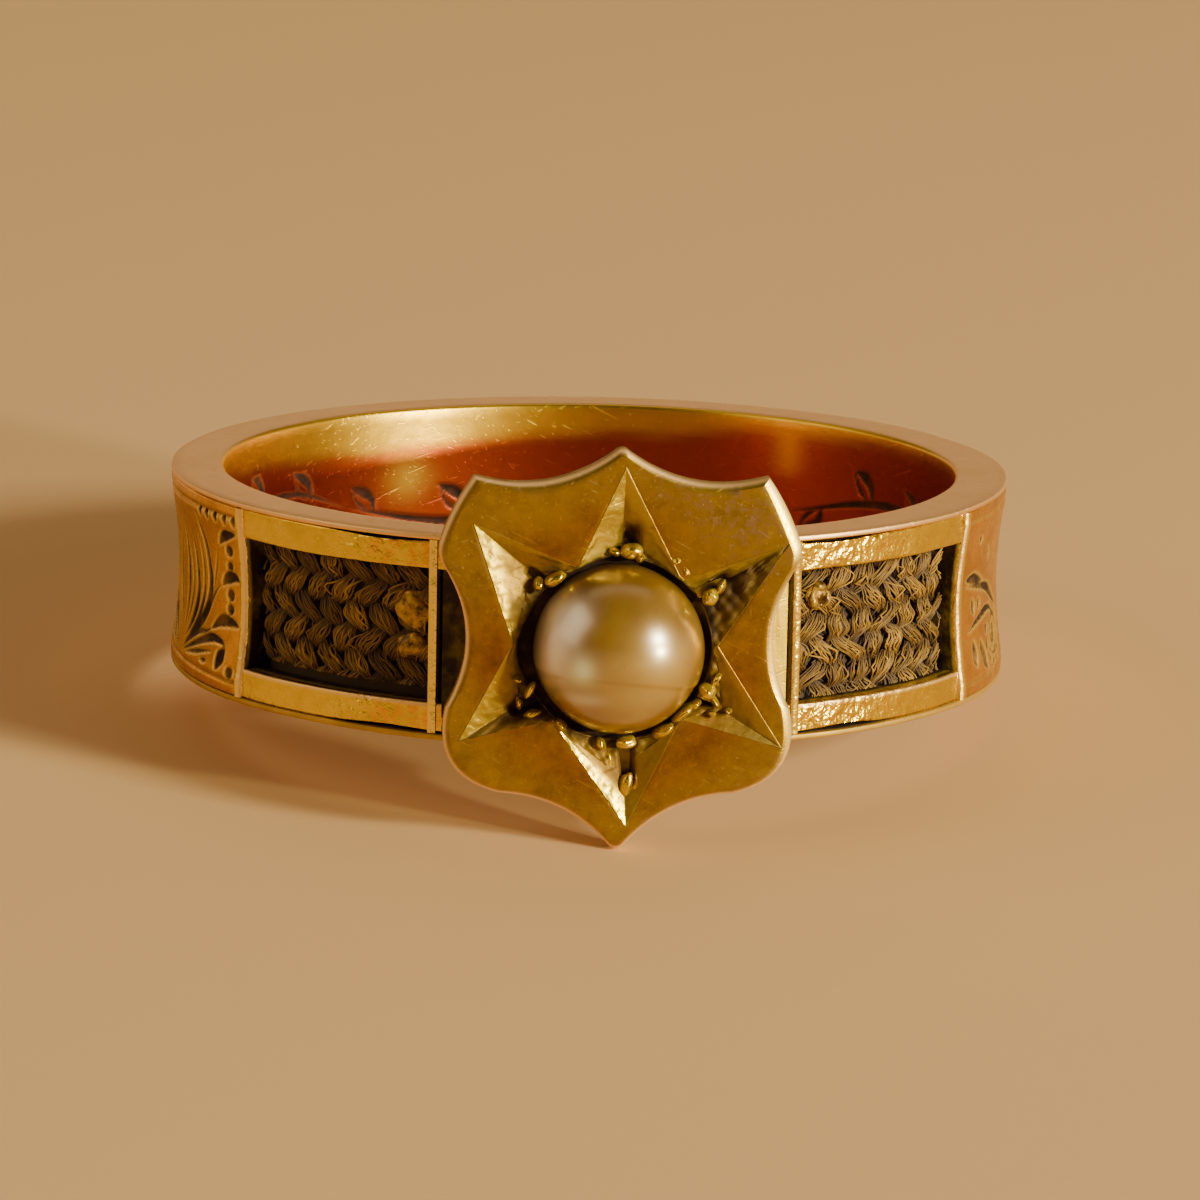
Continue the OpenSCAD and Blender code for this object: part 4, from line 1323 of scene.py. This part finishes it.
def weave_tree():
    """A node tree that weaves two families of strands, each of several hairs, in the XZ plane."""
    tree = bpy.data.node_groups.new("hair weave", "GeometryNodeTree")
    names = {}
    for kind, sockets in (("Float", ("Length", "Height", "Strand", "Row", "Rise", "Hair", "Frizz")),
                          ("Int", ("Hairs", "Strands", "Seed")), ("Material", ("Material",))):
        for name in sockets:
            socket = tree.interface.new_socket(name, in_out="INPUT", socket_type="NodeSocket" + kind)
            names[name] = socket.identifier
    tree.interface.new_socket("Geometry", in_out="OUTPUT", socket_type="NodeSocketGeometry")
    values = {socket.name: socket for socket in add(tree, "NodeGroupInput").outputs if socket.name}
    values["number"] = add(tree, "GeometryNodeInputIndex")
    for name in ("family", "strand", "place", "shade"):
        values[name] = add(tree, "GeometryNodeInputNamedAttribute", {"Name": name}, data_type="FLOAT")
    position = add(tree, "ShaderNodeSeparateXYZ", [add(tree, "GeometryNodeInputPosition")]).outputs
    values["place across"], values["along"] = position[0], position[2]
    own = add(tree, "ShaderNodeCombineXYZ", (values["shade"], values["family"], values["along"]))
    own = add(tree, "ShaderNodeVectorMath", (own, (60.0, 17.0, 11.0)), operation="MULTIPLY")
    wander = add(tree, "ShaderNodeTexNoise", {"Vector": own, "Scale": 1.0, "Detail": 1.0})
    drift = add(tree, "ShaderNodeSeparateXYZ", [wander.outputs["Color"]]).outputs
    values["drift aside"], values["drift aloft"] = drift[0], drift[1]
    for name, operation, *parts in WEAVE:
        values[name] = add(tree, "ShaderNodeMath", [values.get(part, part) for part in parts],
                           operation=operation)
    # Every point is one hair. It becomes a line of 46 points, which is then bent
    geometry = add(tree, "GeometryNodePoints", {"Count": values["count"]})
    chance = add(tree, "FunctionNodeRandomValue", {"Seed": values["Seed"]}, data_type="FLOAT").outputs[1]
    for name, value in (("family", values["new family"]), ("strand", values["new strand"]),
                        ("place", values["new place"]), ("shade", chance)):
        geometry = add(tree, "GeometryNodeStoreNamedAttribute", {
            "Geometry": geometry, "Name": name, "Value": value}, data_type="FLOAT", domain="POINT")
    line = add(tree, "GeometryNodeCurvePrimitiveLine", {"Start": (0, 0, 0), "End": (0, 0, 1)}, mode="POINTS")
    fine = add(tree, "GeometryNodeResampleCurve", {"Curve": line, "Count": 46})
    placed = add(tree, "GeometryNodeInstanceOnPoints", {"Points": geometry, "Instance": fine})
    real = add(tree, "GeometryNodeRealizeInstances", {"Geometry": placed})
    spot = add(tree, "ShaderNodeCombineXYZ", (values["across"], values["front"], values["up"]))
    moved = add(tree, "GeometryNodeSetPosition", {"Geometry": real, "Position": spot})
    outside = add(tree, "FunctionNodeCompare", (values["from middle"], values["end"]),
                  data_type="FLOAT", operation="GREATER_THAN")
    inside = add(tree, "GeometryNodeDeleteGeometry", {"Geometry": moved, "Selection": outside},
                 domain="POINT")
    circle = add(tree, "GeometryNodeCurvePrimitiveCircle", {"Resolution": 5, "Radius": values["Hair"]})
    tube = add(tree, "GeometryNodeCurveToMesh", {
        "Curve": inside, "Profile Curve": circle, "Fill Caps": True})
    smooth = add(tree, "GeometryNodeSetShadeSmooth", {"Geometry": tube})
    whole = add(tree, "GeometryNodeRealizeInstances", {"Geometry": smooth})
    dressed = add(tree, "GeometryNodeSetMaterial", {"Geometry": whole, "Material": values["Material"]})
    add(tree, "NodeGroupOutput", [dressed])
    return tree, names


class RING_OT_hair(bpy.types.Operator):
    """Weaves the ribbon of hair behind each window"""
    bl_idname = "ring.hair"
    bl_label = "Woven hair"

    def execute(self, context):
        band, hair = context.scene.ring_band, context.scene.ring_hair
        tree, names = weave_tree()
        # The ribbon ends a little short of the bars
        first = band.window_from - 0.18 / mm(band.sleeve_inner)
        last = band.window_to - 0.2 / mm(band.sleeve_inner)
        radius = mm(hair.radius)
        long = (last - first) * radius
        middle = (first + last) / 2
        material = kept("woven hair", hair_material)
        # Which side, the seed, how far single hairs stray, how much lower the ribbon is than its
        # space in millimetres, and how untidily its strands lie
        for node, side, seed, frizz, short, untidy in (("hair_left", -1, 5, 1.1, 0.34, 1.0),
                                                       ("hair_right", 1, 8, 1.9, 0.12, 2.4)):
            holder = bpy.data.objects.new("weaving", bpy.data.meshes.new("weaving"))
            context.scene.collection.objects.link(holder)
            modifier = holder.modifiers.new("weave", "NODES")
            modifier.node_group = tree
            strands = int(long / mm(hair.strand)) + 6
            tall = mm(hair.height - 2 * hair.hair) - short
            for name, value in (("Length", long * MM), ("Height", tall * MM), ("Strand", hair.strand),
                                ("Frizz", frizz), ("Row", hair.row), ("Rise", hair.rise),
                                ("Hair", hair.hair), ("Hairs", hair.hairs), ("Strands", strands),
                                ("Seed", seed), ("Material", material)):
                modifier[names[name]] = value
            shape = holder.evaluated_get(context.evaluated_depsgraph_get())
            mesh = bpy.data.meshes.new_from_object(shape)
            bpy.data.objects.remove(holder)
            flat = np.empty(len(mesh.vertices) * 3)
            mesh.vertices.foreach_get("co", flat)
            flat = flat.reshape(-1, 3) / MM
            shade, family, strand = (np.empty(len(mesh.vertices), np.float32) for _ in range(3))
            for name, values in (("shade", shade), ("family", family), ("strand", strand)):
                mesh.attributes[name].data.foreach_get("value", values)
            # Each float of the weave lies its own way and has its own tone
            row, family = mm(hair.row), np.round(family)
            float_row = np.round((flat[:, 2] / row - family) / 2)
            chance = np.random.default_rng(seed).random((2, 64, 16, 3))
            chance = chance[family.astype(int), np.round(strand).astype(int) % 64, float_row.astype(int) + 8]
            above = flat[:, 2] - (2 * float_row + family) * row
            on_top = np.cos(above / row * math.pi / 2).clip(0) ** 2
            flat[:, 0] += (chance[:, 0] - 0.5) * untidy * above * on_top
            tone = 0.45 + 0.9 * chance[:, 1]
            turn = side * (middle + flat[:, 0] / radius)
            lift = -flat[:, 1] + 0.06 * (chance[:, 2] - 0.5) * on_top
            # The ribbon has shrunk away from the lower rail
            points = on_band(turn, radius + lift, flat[:, 2] + short / 2)
            # Hair deep in the weave is painted dark as shade and hair on top lighter, times a random tone
            bright = (0.35 + 0.65 * shade ** 1.5) * ((lift + 0.06) / 0.19).clip(0.03, 1) ** 1.7 * tone
            mesh.vertices.foreach_set("co", laid_down(points).ravel())
            mesh.attributes["shade"].data.foreach_set("value", bright.astype(np.float32))
            if side < 0:
                mesh.flip_normals()
            piece = bpy.data.objects.new("woven_" + node, mesh)
            context.scene.collection.objects.link(piece)
            settle(piece, node)
            # A dark backing, painted as shade, closes the gaps of the weave
            outline = rounded([(radius - 0.22, -1.6, 0), (radius - 0.09, -1.6, 0),
                               (radius - 0.09, 1.6, 0), (radius - 0.22, 1.6, 0)])
            points, faces = swept(split_long(outline, 0.4), closed=False,
                                  angles=np.linspace(side * (first + 0.002), side * (last - 0.004), 40))
            back = make_piece("backing_" + node, points, faces, material,
                              {"shade": np.full(len(points), 0.02)})
            settle(back, node)
        return {"FINISHED"}


def curl(centre, axes, big, small, seed):
    """A closed lumpy ring. Axes are the two directions in its plane and its axis."""
    turn = np.linspace(0, 2 * math.pi, 40, endpoint=False)[:, None]
    around = np.linspace(0, 2 * math.pi, 16, endpoint=False)[None, :]
    thick = small * (1 + 0.35 * np.sin(3 * turn + seed))
    reach = big + thick * np.cos(around)
    local = np.stack([reach * np.cos(turn), reach * np.sin(turn), thick * np.sin(around)], -1).reshape(-1, 3)
    local *= 1 + 0.12 * ripple(local, 0.3, seed)[:, None]
    return centre + local @ np.asarray(axes), grid_faces(40, 16, rows_close=True, columns_close=True)


class RING_OT_resin(bpy.types.Operator):
    """Makes the lumps of old golden resin that hold the ends of the weave beside the shield"""
    bl_idname = "ring.resin"
    bl_label = "Resin lumps"

    def execute(self, context):
        radius = mm(context.scene.ring_hair.radius) + 0.08
        parts = {"hair_left": [], "hair_right": []}
        # Direction in degrees, height, half the width, half the height and slant
        for node, degrees, z, wide, tall, lean_by in (("hair_left", -28.3, 0.5, 0.4, 0.42, 0.12),
                                                      ("hair_left", -28.6, -0.34, 0.42, 0.3, 0.2),
                                                      ("hair_right", 29.4, 0.82, 0.3, 0.3, 0.0)):
            a = math.radians(degrees)
            out, side, up = on_band(a, 1, 0), on_band(a + math.pi / 2, 1, 0), np.array([0, 0, 1])
            centre = out * radius + up * z
            c, s = math.cos(lean_by), math.sin(lean_by)
            side, up = side * c + up * s, up * c - side * s
            points, faces = blob(centre, (wide, tall, 0.13), (side, up, out), 101 + len(parts[node]),
                                 rows=30, columns=48, lump=0.2)
            parts[node].append((points, faces, 0.1))
            if node == "hair_right":
                points, faces = curl(centre + out * 0.06, (side, up, out), 0.2, 0.09, 3)
                parts[node].append((points, faces, 0.05))
        for node, pieces in parts.items():
            points, faces, grime = joined(pieces)
            piece = make_piece("resin_" + node, points, faces, kept("old resin", resin_material),
                               {"grime": grime})
            settle(piece, node)
        return {"FINISHED"}


# ---- The stage ---------------------------------------------------------------------------------

# The camera that fits the photograph: the size of the picture and the focal length in pixels, how
# far the ring is turned, how far the camera looks down on it and how far it is rolled, in degrees,
# and where the middle of the ring lies to the right, down and forward of it, in millimetres
PICTURE, FOCAL = 1200, 5692
TURN, OVER, ROLL = 4.2, 11.37, 1.11
AWAY = (-0.29, -0.927, 133.7)


def camera_axes(turn, over, roll):
    """The photograph camera's right, down and forward axes on the upright ring, as rows."""
    ct, st = math.cos(turn), math.sin(turn)
    ce, se = math.cos(over), math.sin(over)
    cr, sr = math.cos(roll), math.sin(roll)
    turned = np.array([[ct, -st, 0], [st, ct, 0], [0, 0, 1]])
    axes = np.array([[1, 0, 0], [0, -se, -ce], [0, ce, -se]])
    rolled = np.array([[cr, -sr, 0], [sr, cr, 0], [0, 0, 1]])
    return rolled @ axes @ turned


def softbox(name, where, aim, size, power, tint):
    """A rectangular studio light at a place in metres, turned to its aim."""
    data = bpy.data.lights.new(name, "AREA")
    data.shape, data.size, data.size_y = "RECTANGLE", size[0], size[1]
    data.energy, data.color = power, linear(tint)
    light = bpy.data.objects.new(name, data)
    light.location = where
    light.rotation_euler = (Vector(aim) - Vector(where)).to_track_quat("-Z", "Y").to_euler()
    bpy.context.scene.collection.objects.link(light)
    return light


class RING_OT_stage(bpy.types.Operator):
    """Sets the pale floor, the studio lights and the camera at the photograph's angle"""
    bl_idname = "ring.stage"
    bl_label = "Stage"

    def execute(self, context):
        low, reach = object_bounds()[0][2], 0.9
        mesh = bpy.data.meshes.new("floor")
        mesh.from_pydata([(x * reach, y * reach, low) for x, y in ((-1, -1), (1, -1), (1, 1), (-1, 1))], [],
                         [(0, 1, 2, 3)])
        mesh.materials.append(kept("matt studio card", floor_material))
        floor = bpy.data.objects.new("floor", mesh)
        context.scene.collection.objects.link(floor)
        floor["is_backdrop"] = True

        axes = camera_axes(math.radians(TURN), math.radians(OVER), math.radians(ROLL))
        c, s = math.cos(lean()), math.sin(lean())
        rest = np.array([[1, 0, 0], [0, c, s], [0, -s, c]])
        right, down, forward = (rest @ axis for axis in axes)
        data = bpy.data.cameras.new("camera")
        data.sensor_width, data.clip_start, data.clip_end = 36, 0.01, 10
        data.lens = FOCAL / PICTURE * data.sensor_width
        camera = bpy.data.objects.new("camera", data)
        spot = laid_down(-axes.T @ np.array(AWAY))
        turn = Matrix((right, -down, -forward)).transposed()
        camera.matrix_world = Matrix.Translation(Vector(spot)) @ turn.to_4x4()
        context.scene.collection.objects.link(camera)
        context.scene.camera = camera

        def toward(x, up, back, far):
            """A place seen from the ring: to the right, up, and back towards the camera."""
            way = right * x - down * up - forward * back
            return tuple(way / np.linalg.norm(way) * far)

        # The strip lights the rails from low on the right. The lamp, in the softer light of a window,
        # makes the pearl's highlight. Fill and overhead lift the shadows from the left and from above
        aim = (0, 0, 0.001)
        softbox("low strip", toward(0.83, -0.045, 0.55, 0.5), aim, (0.035, 0.007), 2.2, "#FFF0B8")
        softbox("window", toward(0.78, 0.26, 0.57, 0.5), aim, (0.16, 0.16), 0.25, "#FFE8B4")
        softbox("lamp", toward(0.79, 0.2, 0.57, 0.5), aim, (0.08, 0.07), 2.3, "#FFF4D8")
        softbox("fill", toward(-0.9, 0.5, 0.35, 0.7), aim, (0.5, 0.5), 1.05, "#FFE2B4")
        softbox("overhead", toward(0, 1.0, -0.25, 0.8), aim, (0.9, 0.7), 1.05, "#FFE2B4")
        world = bpy.data.worlds.new("studio")
        world.use_nodes = True
        sky = world.node_tree
        # A pale wall behind the ring up to eye level, dim above and in front
        way = add(sky, "ShaderNodeTexCoord").outputs["Generated"]
        way = add(sky, "ShaderNodeSeparateXYZ", [way]).outputs
        wall = add(sky, "ShaderNodeMapRange", (way[2], 0.1, 0.3))
        tone = add(sky, "ShaderNodeMix", {0: wall, 6: (1.7, 1.1, 0.58, 1), 7: (0.19, 0.12, 0.065, 1)},
                   data_type="RGBA").outputs[2]
        behind = add(sky, "ShaderNodeMapRange", (way[1], -0.4, 0.5, 0.4, 1.0))
        side = add(sky, "ShaderNodeMapRange", (way[0], -1.0, 0.4, 1.05, 1.0))
        share = add(sky, "ShaderNodeMath", (behind, side), operation="MULTIPLY")
        lit = add(sky, "ShaderNodeVectorMath", (tone, share), operation="MULTIPLY")
        sky.nodes["Background"].inputs[1].default_value = 0.6
        sky.links.new(lit.outputs[0], sky.nodes["Background"].inputs[0])
        context.scene.world = world
        return {"FINISHED"}


# ---- Panel and registration --------------------------------------------------------------------

class RING_PT_pieces(bpy.types.Panel):
    """Lists the sizes of the ring and the buttons that make its pieces"""
    bl_label = "Mourning ring"
    bl_idname = "RING_PT_pieces"
    bl_space_type = "VIEW_3D"
    bl_region_type = "UI"
    bl_category = "Ring"

    def draw(self, context):
        for group in GROUPS:
            box = self.layout.box()
            settings = getattr(context.scene, group)
            for key in settings.bl_rna.properties.keys():
                if key not in ("rna_type", "name"):
                    box.prop(settings, key)
        for operator in MAKERS:
            self.layout.operator(operator.bl_idname)


GROUPS = {"ring_band": BandSizes, "ring_shield": ShieldSizes, "ring_hair": HairSizes,
          "ring_pearl": PearlSizes, "ring_colours": RingColours}
MAKERS = [RING_OT_stage, RING_OT_liner, RING_OT_panel, RING_OT_rails, RING_OT_pedestal, RING_OT_shield,
          RING_OT_grains, RING_OT_pearl, RING_OT_hair, RING_OT_resin]


def register():
    """Adds the sizes, the operators and the panel to Blender."""
    for group in GROUPS.values():
        bpy.utils.register_class(group)
    for name, group in GROUPS.items():
        setattr(bpy.types.Scene, name, PointerProperty(type=group))
    for maker in MAKERS:
        bpy.utils.register_class(maker)
    bpy.utils.register_class(RING_PT_pieces)


def unregister():
    """Takes them out again, in the opposite order."""
    bpy.utils.unregister_class(RING_PT_pieces)
    for maker in reversed(MAKERS):
        bpy.utils.unregister_class(maker)
    for name in GROUPS:
        delattr(bpy.types.Scene, name)
    for group in reversed(list(GROUPS.values())):
        bpy.utils.unregister_class(group)


def main():
    """Makes the ring in order."""
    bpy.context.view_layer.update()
    register()
    for maker in MAKERS:
        family, name = maker.bl_idname.split(".")
        getattr(getattr(bpy.ops, family), name)()


if __name__ == "__main__":
    main()
